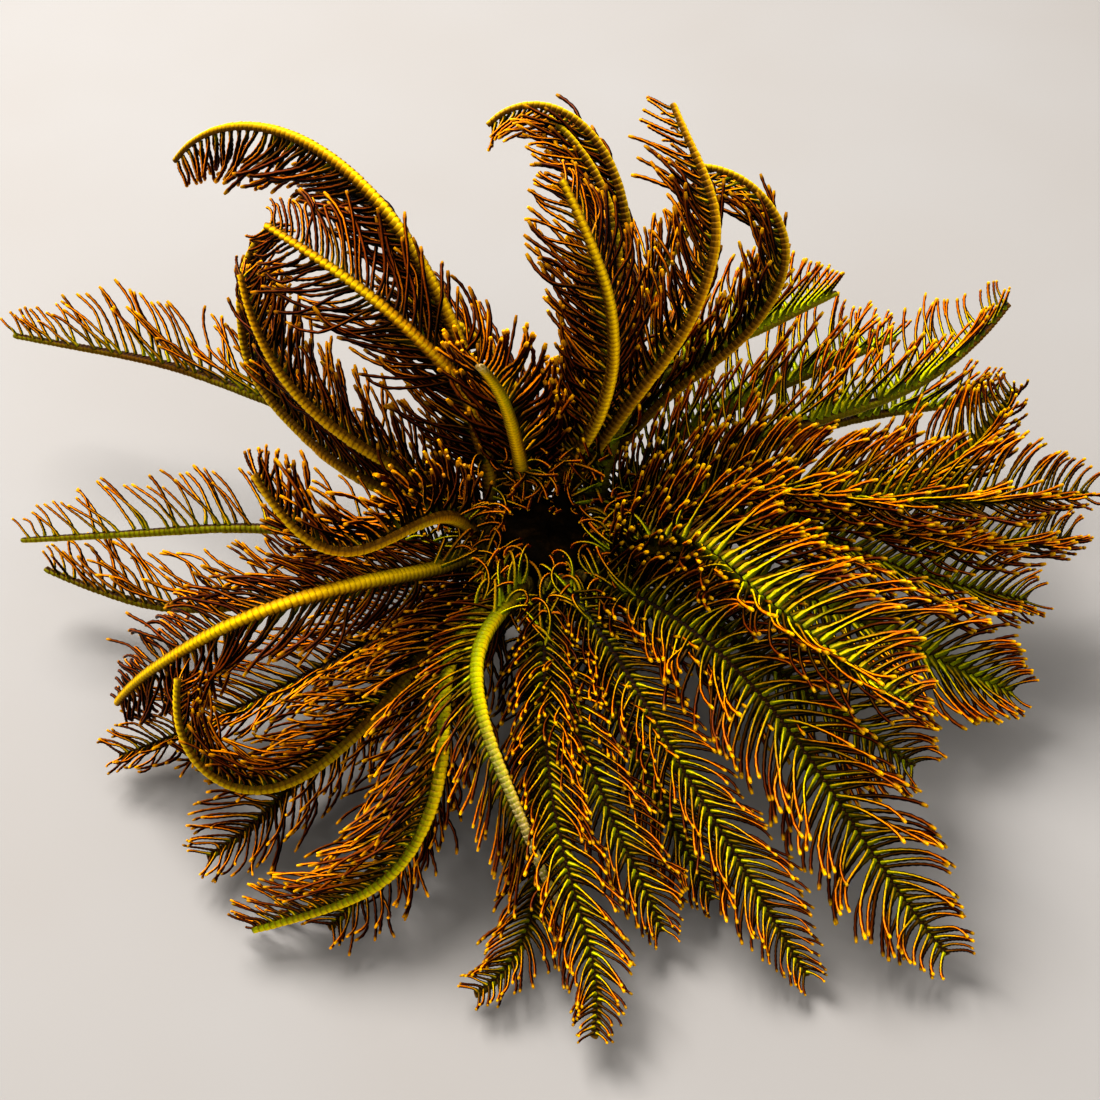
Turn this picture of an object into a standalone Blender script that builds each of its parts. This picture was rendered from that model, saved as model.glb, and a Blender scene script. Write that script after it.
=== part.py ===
"""Golden feather star at life size, in one still pose.

A short round body stands on hooked cirri. Five rays rise from its cup and
fork three times, so that forty arms leave the rim. Every arm carries two
rows of pinnules. Lengths are in millimetres in the tables and become metres
where a shape is made. X is to the right, Y to the back, Z up.
"""
from dataclasses import dataclass, field
import math
import random

import bmesh
import bpy
import numpy as np
from mathutils import Matrix, Vector

MM = 0.001
SEED = 11
GAP = 0.3
WELD = 0.00001
OBJECT_NAME = "golden_feather_star"

# Body, heights above the sand
CENTRODORSAL_RADIUS = 4.6
CENTRODORSAL_TOP = 13.2
CUP_TOP = 17.5
CUP_APOTHEM = 5.3
CUP_BEVEL = 0.45
CUP_BEVEL_STEPS = 2
CENTRODORSAL_PROFILE = (
    (0.0, 9.0), (2.6, 9.0), (3.9, 9.9), (4.6, 11.2), (4.6, 12.7), (4.1, 13.2), (0.0, 13.2),
)
DISC_PROFILE = (
    (0.0, 17.8), (3.4, 17.8), (4.4, 19.4), (5.7, 21.5), (6.9, 23.5), (7.7, 25.5),
    (7.5, 27.0), (6.0, 28.2), (3.4, 28.8), (1.3, 28.2), (0.5, 27.6), (0.0, 27.5),
)
DISC_GUARD = ((21.5, 22.5), 7.2)
BODY_SIDES = 18
ANAL_CONE_PLACE = (2.6, 4.2)
ANAL_CONE_RADII = (1.5, 1.25, 0.8)
ANAL_CONE_HEIGHTS = (27.2, 29.6, 31.4)

# Rays: radius from the axis, height and tube radius of each fork
RAYS = 5
FIRST_SEAT_HEADING = 342.0
SEAT_STEP = 9.0
SEATS_PER_RAY = 8
TRUNK = ((5.6, 15.5, 1.7), (6.5, 15.5, 1.75), (7.3, 16.8, 1.6))
FORK_ONE = (8.1, 18.5, 1.35)
FORK_TWO = (9.2, 20.3, 1.15)
UPPER_SEAT = (10.5, 26.0)
LOWER_SEAT = (12.5, 20.5)
SEAT_RUN = 1.3
TRUNK_SINK = 0.3
FORK_SINK = (0.75, 0.7)
FORK_ROOT_SHARE = (0.85, 0.93, 0.92)
SEAT_SHARE = (1.0, 1.04)

# Cirri: every other one springs lower and reaches less far
CIRRI = 12
CIRRUS_SPRING_HEIGHT = (10.4, 11.6)
CIRRUS_REACH = (9.6, 12.6)
CIRRUS_ROOT_DEPTH = 1.2
CIRRUS_RISE = 0.2
CIRRUS_KNEE_DROP = 3.4
CIRRUS_CLAW_HEIGHT = 1.8
CIRRUS_TURN = 4.0
CIRRUS_SWING = 6.0
CIRRUS_RADII = (0.85, 0.7, 0.6, 0.52, 0.45)

# Arms
ARM_ROOT_RADIUS = 1.15
ARM_TIP_RADIUS = 0.55
ARM_TAPER = 1.6
ARM_STEPS = 28
ARM_LENGTHS = 9
HALF_ARM_LENGTHS = 6
SPACE_BETWEEN_ARMS = 0.5
ROOT_HELD = 3
ROOT_EASED = 4.0
PUSH_ROUNDS = 60
PUSH_SHARE = 0.75

# Sides of the tubes
TRUNK_SIDES = 8
BRANCH_SIDES = 6

# Pinnules
PINNULES = 10
PINNULE_LENGTH = 9.5
PINNULE_FIRST = 6.5
PINNULE_BEFORE_CUT = 2.2
PINNULE_AFTER_CUT = 2.0
PINNULE_BEFORE_TIP = 1.0
PINNULE_RADII = (0.34, 0.3, 0.0)
PINNULE_FORWARD = 0.8
PINNULE_CURL = (0.35, 0.25)
PINNULE_AT_ROOT = 0.75
PINNULE_AT_TIP = (0.4, 2.2)
PINNULE_ROOM = 0.35
PINNULE_TRIES = (
    (1.0, 0.0, 0.0), (1.0, 20.0, 0.0), (1.0, -20.0, 0.0), (1.0, 0.0, 0.4),
    (0.8, 0.0, 0.0), (0.8, 25.0, 0.3), (0.8, -25.0, 0.3), (0.6, 0.0, 0.0),
    (0.6, 30.0, 0.5), (0.6, -30.0, 0.5), (0.45, 0.0, 0.0), (0.45, 35.0, 0.0),
)
FLOOR_CLEARANCE = 0.5


@dataclass(frozen=True)
class Arm:
    """One arm as it lies.

    Heading and pitch are given in degrees at even stations from root to tip.
    The groove is the heading and pitch of the grooved side at the root, and
    fold is how far the pinnules bend towards it.
    """

    length: float
    heading: tuple
    pitch: tuple
    groove: tuple = (270, 60)
    fold: float = 35.0
    parts: int = 1


ARMS = (
    Arm(69, (375, 370, 350, 355, 360, 365), (15, 5, -10, -25, -20, -20), (300, 70), 45),
    Arm(75, (390, 380, 355, 355, 370, 375), (15, 10, -5, -15, -10, -5), (270, 85), 50),
    Arm(74, (20, 10, -10, 0, 5, 5), (20, 15, 0, -5, 0, 0), (270, 85), 50),
    Arm(71, (20, 15, 0, 20, 30, 50), (20, 15, -5, 0, 20, 60), (180, 80), 50, 2),
    Arm(82, (25, 30, 30, 30, 40, 45), (15, 10, -5, -5, 5, 30), (120, 70), 50),
    Arm(75, (35, 35, 35, 25, 15, 15), (10, 5, -5, -5, -5, 0), (120, 80), 55),
    Arm(58, (85, 60, 35, 30, 35, 35), (50, 40, 15, 0, 0, 0), (130, 60), 50),
    Arm(64, (40, 40, 35, 35, 35, 30), (30, 25, 0, -5, -5, 0), (140, 70), 50),
    Arm(71, (55, 40, 10, 25, 140, 180), (25, 30, 40, 60, 50, 5), (150, 30), 35, 2),
    Arm(51, (65, 65, 70, 75, 60, 45), (30, 30, 30, 30, 30, 25), (180, 30), 45),
    Arm(70, (10, 10, 20, 55, 115, 105), (60, 60, 55, 60, 40, 10), (150, -20), 35, 2),
    Arm(79, (35, 45, 75, 105, 150, 195), (60, 60, 60, 55, 30, -45), (160, 0), 35, 2),
    Arm(63, (-25, -20, -10, -145, -200, -220), (60, 65, 80, 85, 70, 55), (130, -20)),
    Arm(68, (15, 20, 55, 85, 125, 140), (65, 65, 60, 60, 45, 15), (160, -10), 35, 2),
    Arm(49, (265, 265, 255, 255, 250, 245), (65, 65, 70, 65, 60, 55), (90, 0), 30),
    Arm(47, (75, 75, 130, 170, 180, 195), (45, 45, 50, 50, 35, 30), (150, -30)),
    Arm(96, (140, 140, 140, 140, 150, 160), (80, 70, 55, 20, -15, -55), (140, 0), 60, 2),
    Arm(57, (180, 180, 165, 150, 135, 105), (40, 40, 30, 35, 55, 60), (80, 20), 35, 2),
    Arm(61, (85, 125, 180, 165, 155, 150), (80, 75, 60, 45, 25, 15), (110, -20), 35, 2),
    Arm(93, (150, 145, 145, 150, 160, 165), (25, 15, -5, -5, -5, 0), (100, 80), 60),
    Arm(71, (165, 155, 135, 135, 85, 35), (5, 5, 5, 35, 65, 25), (70, 20), 35, 2),
    Arm(72, (190, 180, 170, 175, 175, 175), (25, 10, -5, -10, -10, -10), (90, 65), 65),
    Arm(52, (235, 240, 235, 215, 155, 140), (65, 50, 25, 10, 35, 55), (120, 30), 35, 2),
    Arm(71, (180, 180, 175, 175, 160, 165), (-15, -15, -15, -10, 0, 20), (90, 70), 60),
    Arm(79, (225, 225, 210, 180, 160, 145), (15, 30, 10, -35, -50, -60), (90, -47), 20, 2),
    Arm(60, (195, 195, 200, 205, 205, 200), (-30, -25, -20, -10, -5, -5), (250, 75)),
    Arm(72, (235, 235, 225, 205, 150, 60), (-15, -15, -20, -10, 40, 70), (135, 20), 35, 2),
    Arm(57, (210, 210, 220, 230, 230, 215), (-30, -30, -20, -10, -5, -5)),
    Arm(74, (245, 250, 270, 235, 195, 190), (10, 5, -25, -45, -20, -10), (150, -30)),
    Arm(54, (235, 235, 245, 250, 240, 225), (-30, -30, -20, -15, -10, -10)),
    Arm(61, (245, 250, 280, 300, 300, 320), (15, 10, -20, -40, -40, -30), (150, -40)),
    Arm(59, (270, 270, 275, 270, 250, 215), (-20, -20, -25, -20, -10, 0)),
    Arm(67, (270, 270, 275, 285, 285, 260), (-15, -15, -20, -25, -20, -5)),
    Arm(51, (275, 275, 290, 295, 300, 295), (5, 0, -20, -30, -30, -35)),
    Arm(67, (300, 300, 300, 305, 305, 305), (-5, -10, -20, -25, -30, -25)),
    Arm(48, (285, 285, 295, 300, 305, 300), (0, -5, -20, -30, -35, -30)),
    Arm(78, (330, 315, 315, 310, 310, 310), (10, 5, -20, -30, -30, -20)),
    Arm(56, (335, 335, 320, 335, 345, 340), (20, 15, -10, -25, -35, -30)),
    Arm(57, (360, 335, 305, 320, 325, 350), (40, 30, 5, -10, -20, -20), (300, 60)),
    Arm(67, (365, 355, 335, 350, 355, 360), (20, 10, -10, -25, -30, -30), (300, 65)),
)

ARM_COLOURS = ("#B98A1E", "#A98C22", "#8F8A20", "#C4921F", "#9C7A1C")
BASE_COLOUR = "#6E5A1A"
CUP_COLOUR = "#5A4818"
CENTRODORSAL_COLOUR = "#8A6A22"
DISC_COLOUR = "#3A2A12"


def srgb(hex_colour):
    """Turns a hex colour into linear values for a shader."""
    channels = []
    for start in (1, 3, 5):
        value = int(hex_colour[start:start + 2], 16) / 255.0
        if value <= 0.04045:
            channels.append(value / 12.92)
        else:
            channels.append(((value + 0.055) / 1.055) ** 2.4)
    return (*channels, 1.0)


def make_material(name, hex_colour, roughness):
    """Makes one plain material."""
    material = bpy.data.materials.new(name)
    material.use_nodes = True
    shader = material.node_tree.nodes["Principled BSDF"]
    shader.inputs["Base Color"].default_value = srgb(hex_colour)
    shader.inputs["Roughness"].default_value = roughness
    shader.inputs["Metallic"].default_value = 0.0
    material.diffuse_color = srgb(hex_colour)
    return material


def clear_scene():
    """Takes out whatever the scene starts with."""
    for item in list(bpy.data.objects):
        bpy.data.objects.remove(item, do_unlink=True)


def make_collection(name):
    """Makes a collection under the scene's own."""
    collection = bpy.data.collections.new(name)
    bpy.context.scene.collection.children.link(collection)
    return collection


def direction(heading, pitch):
    """Unit direction from a heading and a pitch in degrees."""
    h = np.radians(heading)
    p = np.radians(pitch)
    return np.stack([np.cos(p) * np.cos(h), np.cos(p) * np.sin(h), np.sin(p)], axis=-1)


def unit(vector):
    """The vector at length one."""
    return vector / np.linalg.norm(vector)


def eased(values, places):
    """Values given at even stations, read smoothly at places from 0 to 1."""
    v = np.asarray(values, float)
    v = np.concatenate([[2 * v[0] - v[1]], v, [2 * v[-1] - v[-2]]])
    x = np.clip(np.asarray(places, float), 0, 1) * (len(v) - 3)
    i = np.minimum(x.astype(int), len(v) - 4)
    t = x - i
    a, b, c, d = v[i], v[i + 1], v[i + 2], v[i + 3]
    bend = 2 * a - 5 * b + 4 * c - d + t * (3 * (b - c) + d - a)
    return b + 0.5 * t * (c - a + t * bend)


def ring_point(heading, radius, height):
    """A point at a heading, a distance from the axis and a height."""
    h = math.radians(heading)
    return np.array([radius * math.cos(h), radius * math.sin(h), height])


def seat_point(index):
    """Where the arm of this index leaves its ray."""
    radius, height = UPPER_SEAT if index % 2 == 0 else LOWER_SEAT
    return ring_point(FIRST_SEAT_HEADING + SEAT_STEP * index, radius, height)


def centreline(index, arm):
    """Points along one arm from its seat to its tip."""
    places = (np.arange(ARM_STEPS) + 0.5) / ARM_STEPS
    run = direction(eased(arm.heading, places), eased(arm.pitch, places))
    start = seat_point(index) + run[0] * GAP
    return np.vstack([start, start + np.cumsum(run, axis=0) * arm.length / ARM_STEPS])


def arm_radius(place):
    """Radius of an arm at a place from 0 at its root to 1 at its tip."""
    return ARM_ROOT_RADIUS + (ARM_TIP_RADIUS - ARM_ROOT_RADIUS) * place ** ARM_TAPER


def part_ways(lines, radii):
    """Pushes arms that come too close to each other apart, roots held."""
    points = np.stack(lines)
    count, size, _ = points.shape
    reach = np.tile(radii, count)
    owner = np.repeat(np.arange(count), size)
    other = owner[:, None] != owner[None]
    need = reach[:, None] + reach[None] + SPACE_BETWEEN_ARMS
    loose = np.clip((np.arange(size) - ROOT_HELD) / ROOT_EASED, 0, 1)[None, :, None]
    for _ in range(PUSH_ROUNDS):
        flat = points.reshape(-1, 3)
        apart = flat[:, None] - flat[None]
        distance = np.linalg.norm(apart, axis=2)
        close = (distance < need) & other
        if not close.any():
            break
        share = np.where(close, (need - distance) / np.maximum(distance, 1e-6), 0)
        push = (share[..., None] * apart).sum(1) / np.maximum(close.sum(1), 1)[:, None]
        move = PUSH_SHARE * push.reshape(count, size, 3) * loose
        for _ in range(2):
            inner = (move[:, :-2] + 2 * move[:, 1:-1] + move[:, 2:]) / 4
            move[:, 1:-1] = inner
            move = move * loose
        points = points + move
    return points


def frames(points, groove):
    """Forward, groove and side directions along one arm."""
    forward = np.gradient(points, axis=0)
    forward /= np.linalg.norm(forward, axis=1)[:, None]
    facing = direction(*groove)
    grooves = []
    for ahead in forward:
        facing = unit(facing - ahead * (facing @ ahead))
        grooves.append(facing)
    grooves = np.stack(grooves)
    return forward, grooves, np.cross(forward, grooves)


def read_along(rows, place):
    """One row of a table read at a place from 0 to 1."""
    x = place * (len(rows) - 1)
    i = min(int(x), len(rows) - 2)
    return rows[i] + (rows[i + 1] - rows[i]) * (x - i)


def tube_mesh(name, points, radii, corners):
    """A closed tube through the points, made as a bevelled curve."""
    curve = bpy.data.curves.new(name, "CURVE")
    curve.dimensions = "3D"
    curve.bevel_depth = MM
    curve.bevel_resolution = corners // 2 - 2
    curve.use_fill_caps = True
    spline = curve.splines.new("POLY")
    spline.points.add(len(points) - 1)
    for knot, point, radius in zip(spline.points, points, radii):
        knot.co = (*(Vector(point) * MM), 1.0)
        knot.radius = radius
    return weld(curve_to_mesh(name, curve))


def spine_profile():
    """A three-cornered outline for the spines, one millimetre in radius."""
    outline = bpy.data.curves.new("spine_outline", "CURVE")
    outline.dimensions = "2D"
    spline = outline.splines.new("POLY")
    spline.points.add(2)
    for corner, knot in enumerate(spline.points):
        angle = math.tau * corner / 3
        knot.co = (MM * math.cos(angle), MM * math.sin(angle), 0.0, 1.0)
    spline.use_cyclic_u = True
    return bpy.data.objects.new("spine_outline", outline)


def spines_mesh(name, spines, radii, profile):
    """Closed three-sided spines, one spline for each."""
    curve = bpy.data.curves.new(name, "CURVE")
    curve.dimensions = "3D"
    curve.bevel_mode = "OBJECT"
    curve.bevel_object = profile
    curve.use_fill_caps = True
    for points in spines:
        spline = curve.splines.new("POLY")
        spline.points.add(len(points) - 1)
        for knot, point, radius in zip(spline.points, points, radii):
            knot.co = (*(Vector(point) * MM), 1.0)
            knot.radius = radius
    return weld(curve_to_mesh(name, curve))


def curve_to_mesh(name, curve):
    """The mesh of a curve, with the curve taken out again."""
    holder = bpy.data.objects.new(name, curve)
    bpy.context.scene.collection.objects.link(holder)
    graph = bpy.context.evaluated_depsgraph_get()
    mesh = bpy.data.meshes.new_from_object(holder.evaluated_get(graph))
    bpy.data.objects.remove(holder, do_unlink=True)
    bpy.data.curves.remove(curve)
    mesh.name = name
    return mesh


def weld(mesh):
    """Joins the caps of a tube to its sides and turns all faces outward."""
    shape = bmesh.new()
    shape.from_mesh(mesh)
    bmesh.ops.remove_doubles(shape, verts=shape.verts, dist=WELD)
    bmesh.ops.recalc_face_normals(shape, faces=shape.faces)
    shape.to_mesh(mesh)
    shape.free()
    return mesh


def mesh_object(name, mesh, collection):
    """Puts a mesh in a collection under a name."""
    item = bpy.data.objects.new(name, mesh)
    collection.objects.link(item)
    return item


def keep_largest(mesh):
    """Keeps only the largest closed surface of a mesh."""
    shape = bmesh.new()
    shape.from_mesh(mesh)
    shape.verts.ensure_lookup_table()
    seen = set()
    groups = []
    for start in shape.verts:
        if start.index in seen:
            continue
        group = []
        queue = [start]
        seen.add(start.index)
        while queue:
            vert = queue.pop()
            group.append(vert)
            for edge in vert.link_edges:
                other = edge.other_vert(vert)
                if other.index not in seen:
                    seen.add(other.index)
                    queue.append(other)
        groups.append(group)
    groups.sort(key=len)
    for group in groups[:-1]:
        bmesh.ops.delete(shape, geom=group, context="VERTS")
    bmesh.ops.triangulate(shape, faces=shape.faces)
    shape.to_mesh(mesh)
    shape.free()


def join_pieces(body, pieces):
    """Unites a body with its pieces and leaves one closed surface."""
    cutters = make_collection("pieces_of_" + body.name)
    for number, mesh in enumerate(pieces):
        mesh_object("%s_piece_%d" % (body.name, number), mesh, cutters)
    union = body.modifiers.new("union", "BOOLEAN")
    union.operation = "UNION"
    union.operand_type = "COLLECTION"
    union.collection = cutters
    union.solver = "MANIFOLD"
    graph = bpy.context.evaluated_depsgraph_get()
    joined = bpy.data.meshes.new_from_object(body.evaluated_get(graph))
    body.modifiers.remove(union)
    body.data = joined
    for item in list(cutters.objects):
        bpy.data.objects.remove(item, do_unlink=True)
    bpy.data.collections.remove(cutters)
    keep_largest(joined)


def place_at(item, point):
    """Gives a node its origin at a point without moving its shape."""
    spot = Vector(point) * MM
    item.data.transform(Matrix.Translation(-spot))
    item.location = spot


def shade(item, material):
    """Gives a node its material and smooth shading."""
    item.data.materials.clear()
    item.data.materials.append(material)
    for face in item.data.polygons:
        face.use_smooth = True


def turned_mesh(name, profile, sides):
    """A closed solid turned about the axis from its outline, outer side from the top down."""
    outline = bpy.data.meshes.new(name)
    corners = [(radius * MM, 0.0, height * MM) for radius, height in reversed(profile)]
    outline.from_pydata(corners, [(n, n + 1) for n in range(len(corners) - 1)], [])
    holder = bpy.data.objects.new(name, outline)
    bpy.context.scene.collection.objects.link(holder)
    screw = holder.modifiers.new("turn", "SCREW")
    screw.axis = "Z"
    screw.angle = math.tau
    screw.steps = sides
    screw.render_steps = sides
    screw.use_merge_vertices = True
    screw.merge_threshold = WELD
    graph = bpy.context.evaluated_depsgraph_get()
    mesh = bpy.data.meshes.new_from_object(holder.evaluated_get(graph))
    bpy.data.objects.remove(holder, do_unlink=True)
    bpy.data.meshes.remove(outline)
    return weld(mesh)


def cirrus_lines():
    """Centrelines of the cirri, from the body down to flat ends on the sand."""
    draw = random.Random(SEED)
    lines = []
    for number in range(CIRRI):
        heading = 360.0 * number / CIRRI + draw.uniform(-CIRRUS_TURN, CIRRUS_TURN)
        reach = CIRRUS_REACH[number % 2]
        high = CIRRUS_SPRING_HEIGHT[number % 2]
        swing = draw.uniform(-CIRRUS_SWING, CIRRUS_SWING)
        stops = (
            (CENTRODORSAL_RADIUS - CIRRUS_ROOT_DEPTH, high), (reach * 0.7, high + CIRRUS_RISE),
            (reach * 0.97, high - CIRRUS_KNEE_DROP), (reach, CIRRUS_CLAW_HEIGHT), (reach, 0.0),
        )
        line = []
        for step, (radius, height) in enumerate(stops):
            line.append(ring_point(heading + swing * min(step, 3) / 3, radius, height))
        lines.append(line)
    return lines


def ray_pieces(ray, starts):
    """Tubes of one ray: its trunk, its forks and the runs up to the seats."""
    first = FIRST_SEAT_HEADING + SEAT_STEP * SEATS_PER_RAY * ray
    middle = first + SEAT_STEP * (SEATS_PER_RAY - 1) / 2
    trunk = [ring_point(middle, r, z) for r, z, _ in TRUNK]
    trunk_radii = [radius for _, _, radius in TRUNK]
    sunk = trunk[2] + (trunk[1] - trunk[2]) * TRUNK_SINK
    pieces = []
    for side in (-1, 1):
        one = ring_point(middle + side * 2 * SEAT_STEP, FORK_ONE[0], FORK_ONE[1])
        pieces.append(([sunk, one], [TRUNK[2][2] * FORK_ROOT_SHARE[0], FORK_ONE[2]]))
        for turn in (-1, 1):
            heading = middle + side * 2 * SEAT_STEP + turn * SEAT_STEP
            two = ring_point(heading, FORK_TWO[0], FORK_TWO[1])
            low = sunk + (one - sunk) * FORK_SINK[0]
            pieces.append(([low, two], [FORK_ONE[2] * FORK_ROOT_SHARE[1], FORK_TWO[2]]))
            for half in (-0.5, 0.5):
                index = round((heading + half * SEAT_STEP - FIRST_SEAT_HEADING) / SEAT_STEP)
                seat = seat_point(index)
                before = seat - starts[index] * SEAT_RUN
                low = one + (two - one) * FORK_SINK[1]
                sizes = [FORK_TWO[2] * FORK_ROOT_SHARE[2]]
                sizes += [ARM_ROOT_RADIUS * share for share in SEAT_SHARE]
                pieces.append(([low, before, seat], sizes))
    return (trunk, trunk_radii), pieces


@dataclass
class Rods:
    """Rods with a radius and an owner, to keep new pieces clear of them."""

    starts: list = field(default_factory=list)
    ends: list = field(default_factory=list)
    radii: list = field(default_factory=list)
    owners: list = field(default_factory=list)

    def add(self, points, radii, owner):
        """Adds the rods along a line."""
        for a, b, ra, rb in zip(points, points[1:], radii, radii[1:]):
            self.starts.append(a)
            self.ends.append(b)
            self.radii.append(max(ra, rb))
            self.owners.append(owner)

    def clear(self, points, radii, owner):
        """True if a line keeps its distance from every other owner's rods."""
        starts = np.array(self.starts)
        ends = np.array(self.ends)
        reach = np.array(self.radii)
        foreign = np.array(self.owners) != owner
        for a, b, ra, rb in zip(points, points[1:], radii, radii[1:]):
            near = rod_distance(a, b, starts[foreign], ends[foreign])
            if (near < reach[foreign] + max(ra, rb) + PINNULE_ROOM).any():
                return False
        return True


def rod_distance(a, b, starts, ends):
    """Least distance from one rod's axis to those of many others."""
    u = b - a
    v = ends - starts
    w = a - starts
    uu = u @ u
    vv = np.maximum((v * v).sum(1), 1e-9)
    uv = v @ u
    uw = w @ u
    vw = (v * w).sum(1)
    spread = np.maximum(uu * vv - uv * uv, 1e-9)
    s = np.clip((uv * vw - vv * uw) / spread, 0, 1)
    t = np.clip((uv * s + vw) / vv, 0, 1)
    s = np.clip((uv * t - uw) / uu, 0, 1)
    gap = a + s[:, None] * u - starts - t[:, None] * v
    return np.linalg.norm(gap, axis=1)


def pinnule_line(points, ways, place, side, arm, change):
    """Root, middle and end of one pinnule."""
    share, fold_more, forward_more = change
    forward, groove, across = (read_along(rows, place) for rows in ways)
    root = read_along(points, place)
    fold = math.radians(arm.fold + fold_more)
    grow = min(1.0, PINNULE_AT_ROOT + place, PINNULE_AT_TIP[0] + PINNULE_AT_TIP[1] * (1 - place))
    length = PINNULE_LENGTH * grow * share
    out = unit(side * across * math.cos(fold) + groove * math.sin(fold)
               + forward * (PINNULE_FORWARD + forward_more))
    curl = unit(out + groove * PINNULE_CURL[0] + forward * PINNULE_CURL[1])
    middle = root + out * length * 0.5
    return [root, middle, middle + curl * length * 0.5]


def arm_spans(arm):
    """Start and end, in parts of the length, of each length of an arm."""
    half = 0.5 * GAP / arm.length
    cuts = [step / arm.parts for step in range(1, arm.parts)]
    starts = [0.0] + [cut + half for cut in cuts]
    ends = [cut - half for cut in cuts] + [1.0]
    return list(zip(starts, ends))


def pinnule_places(arm, span):
    """Even places for the pinnules along one length of an arm."""
    first = PINNULE_FIRST if span[0] == 0 else PINNULE_AFTER_CUT
    last = PINNULE_BEFORE_TIP if span[1] == 1 else PINNULE_BEFORE_CUT
    number = round(PINNULES / arm.parts)
    return np.linspace(span[0] + first / arm.length, span[1] - last / arm.length, number)


def span_line(points, span, steps):
    """Points and radii along one length of an arm."""
    places = np.linspace(span[0], span[1], steps + 1)
    line = [read_along(points, place) for place in places]
    return line, [arm_radius(place) for place in places]


def build_body(parts, materials, rods):
    """Builds the centrodorsal with its cirri, the cup and the disc."""
    plate_mesh = turned_mesh("centrodorsal", CENTRODORSAL_PROFILE, BODY_SIDES)
    plate = mesh_object("centrodorsal", plate_mesh, parts)
    cirri = cirrus_lines()
    pieces = [tube_mesh("cirrus", line, CIRRUS_RADII, BRANCH_SIDES) for line in cirri]
    join_pieces(plate, pieces)
    shade(plate, materials["centrodorsal"])
    for line in cirri:
        rods.add(line, CIRRUS_RADII, "centrodorsal")

    cup_mesh = bpy.data.meshes.new("cup")
    shape = bmesh.new()
    depth = CUP_TOP - CENTRODORSAL_TOP - GAP
    corner = CUP_APOTHEM / math.cos(math.pi / RAYS)
    bmesh.ops.create_cone(
        shape, cap_ends=True, segments=RAYS, radius1=corner * MM, radius2=corner * MM, depth=depth * MM,
        matrix=Matrix.Translation((0, 0, (CENTRODORSAL_TOP + GAP + depth / 2) * MM)))
    bmesh.ops.bevel(
        shape, geom=list(shape.edges), offset=CUP_BEVEL * MM, segments=CUP_BEVEL_STEPS, profile=0.5,
        affect="EDGES")
    shape.to_mesh(cup_mesh)
    shape.free()
    cup = mesh_object("calyx", cup_mesh, parts)
    middle = FIRST_SEAT_HEADING + SEAT_STEP * (SEATS_PER_RAY - 1) / 2
    upright = [face for face in cup_mesh.polygons if abs(face.normal.z) < 0.01]
    facet = max(upright, key=lambda face: face.area)
    found = math.degrees(math.atan2(facet.normal.y, facet.normal.x))
    cup_mesh.transform(Matrix.Rotation(math.radians(middle - found), 4, "Z"))
    shade(cup, materials["calyx"])

    disc = mesh_object("tegmen", turned_mesh("tegmen", DISC_PROFILE, BODY_SIDES), parts)
    cone = [np.array([*ANAL_CONE_PLACE, height]) for height in ANAL_CONE_HEIGHTS]
    join_pieces(disc, [tube_mesh("anal_cone", cone, ANAL_CONE_RADII, TRUNK_SIDES)])
    shade(disc, materials["tegmen"])
    heights, width = DISC_GUARD
    rods.add([np.array([0.0, 0.0, height]) for height in heights], (width, width), "tegmen")
    rods.add(cone, ANAL_CONE_RADII, "tegmen")


def build_rays(parts, materials, rods, starts):
    """Builds the five forked rays between the cup and the arms."""
    for ray in range(RAYS):
        name = "ray_%d" % (ray + 1)
        (line, radii), pieces = ray_pieces(ray, starts)
        trunk = mesh_object(name, tube_mesh(name, line, radii, TRUNK_SIDES), parts)
        join_pieces(trunk, [tube_mesh(name, points, sizes, BRANCH_SIDES) for points, sizes in pieces])
        place_at(trunk, line[0])
        shade(trunk, materials["rays"])
        rods.add(line, radii, name)
        for points, sizes in pieces:
            rods.add(points, sizes, name)


def build_arms(parts, materials, rods, lines):
    """Builds the arms with both rows of pinnules."""
    spans = []
    for index, arm in enumerate(ARMS):
        for number, span in enumerate(arm_spans(arm)):
            name = "arm_%02d" % (index + 1)
            if arm.parts > 1:
                name += ("_inner", "_outer")[number]
            steps = ARM_LENGTHS if arm.parts == 1 else HALF_ARM_LENGTHS
            line, radii = span_line(lines[index], span, steps)
            rods.add(line, radii, name)
            spans.append((name, index, span, line, radii))
    profile = spine_profile()
    bpy.context.scene.collection.objects.link(profile)
    for name, index, span, line, radii in spans:
        arm = ARMS[index]
        ways = frames(lines[index], arm.groove)
        spines = []
        for number, place in enumerate(pinnule_places(arm, span)):
            side = 1 if number % 2 else -1
            for change in PINNULE_TRIES:
                spine = pinnule_line(lines[index], ways, place, side, arm, change)
                low = min(point[2] for point in spine[1:])
                if low > FLOOR_CLEARANCE and rods.clear(spine, PINNULE_RADII, name):
                    spines.append(spine)
                    rods.add(spine, PINNULE_RADII, name)
                    break
        body = mesh_object(name, tube_mesh(name, line, radii, BRANCH_SIDES), parts)
        join_pieces(body, [spines_mesh(name, spines, PINNULE_RADII, profile)])
        place_at(body, line[0])
        shade(body, materials["arms"][index % len(ARM_COLOURS)])
    bpy.data.objects.remove(profile, do_unlink=True)


def rest_on_origin(parts):
    """Moves all so that the middle of the box's floor is the origin."""
    bpy.context.view_layer.update()
    corners = np.array([item.matrix_world @ vert.co for item in parts.objects for vert in item.data.vertices])
    low = corners.min(0)
    high = corners.max(0)
    shift = Vector((-(low[0] + high[0]) / 2, -(low[1] + high[1]) / 2, -low[2]))
    for item in parts.objects:
        item.location = item.location + shift


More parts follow.
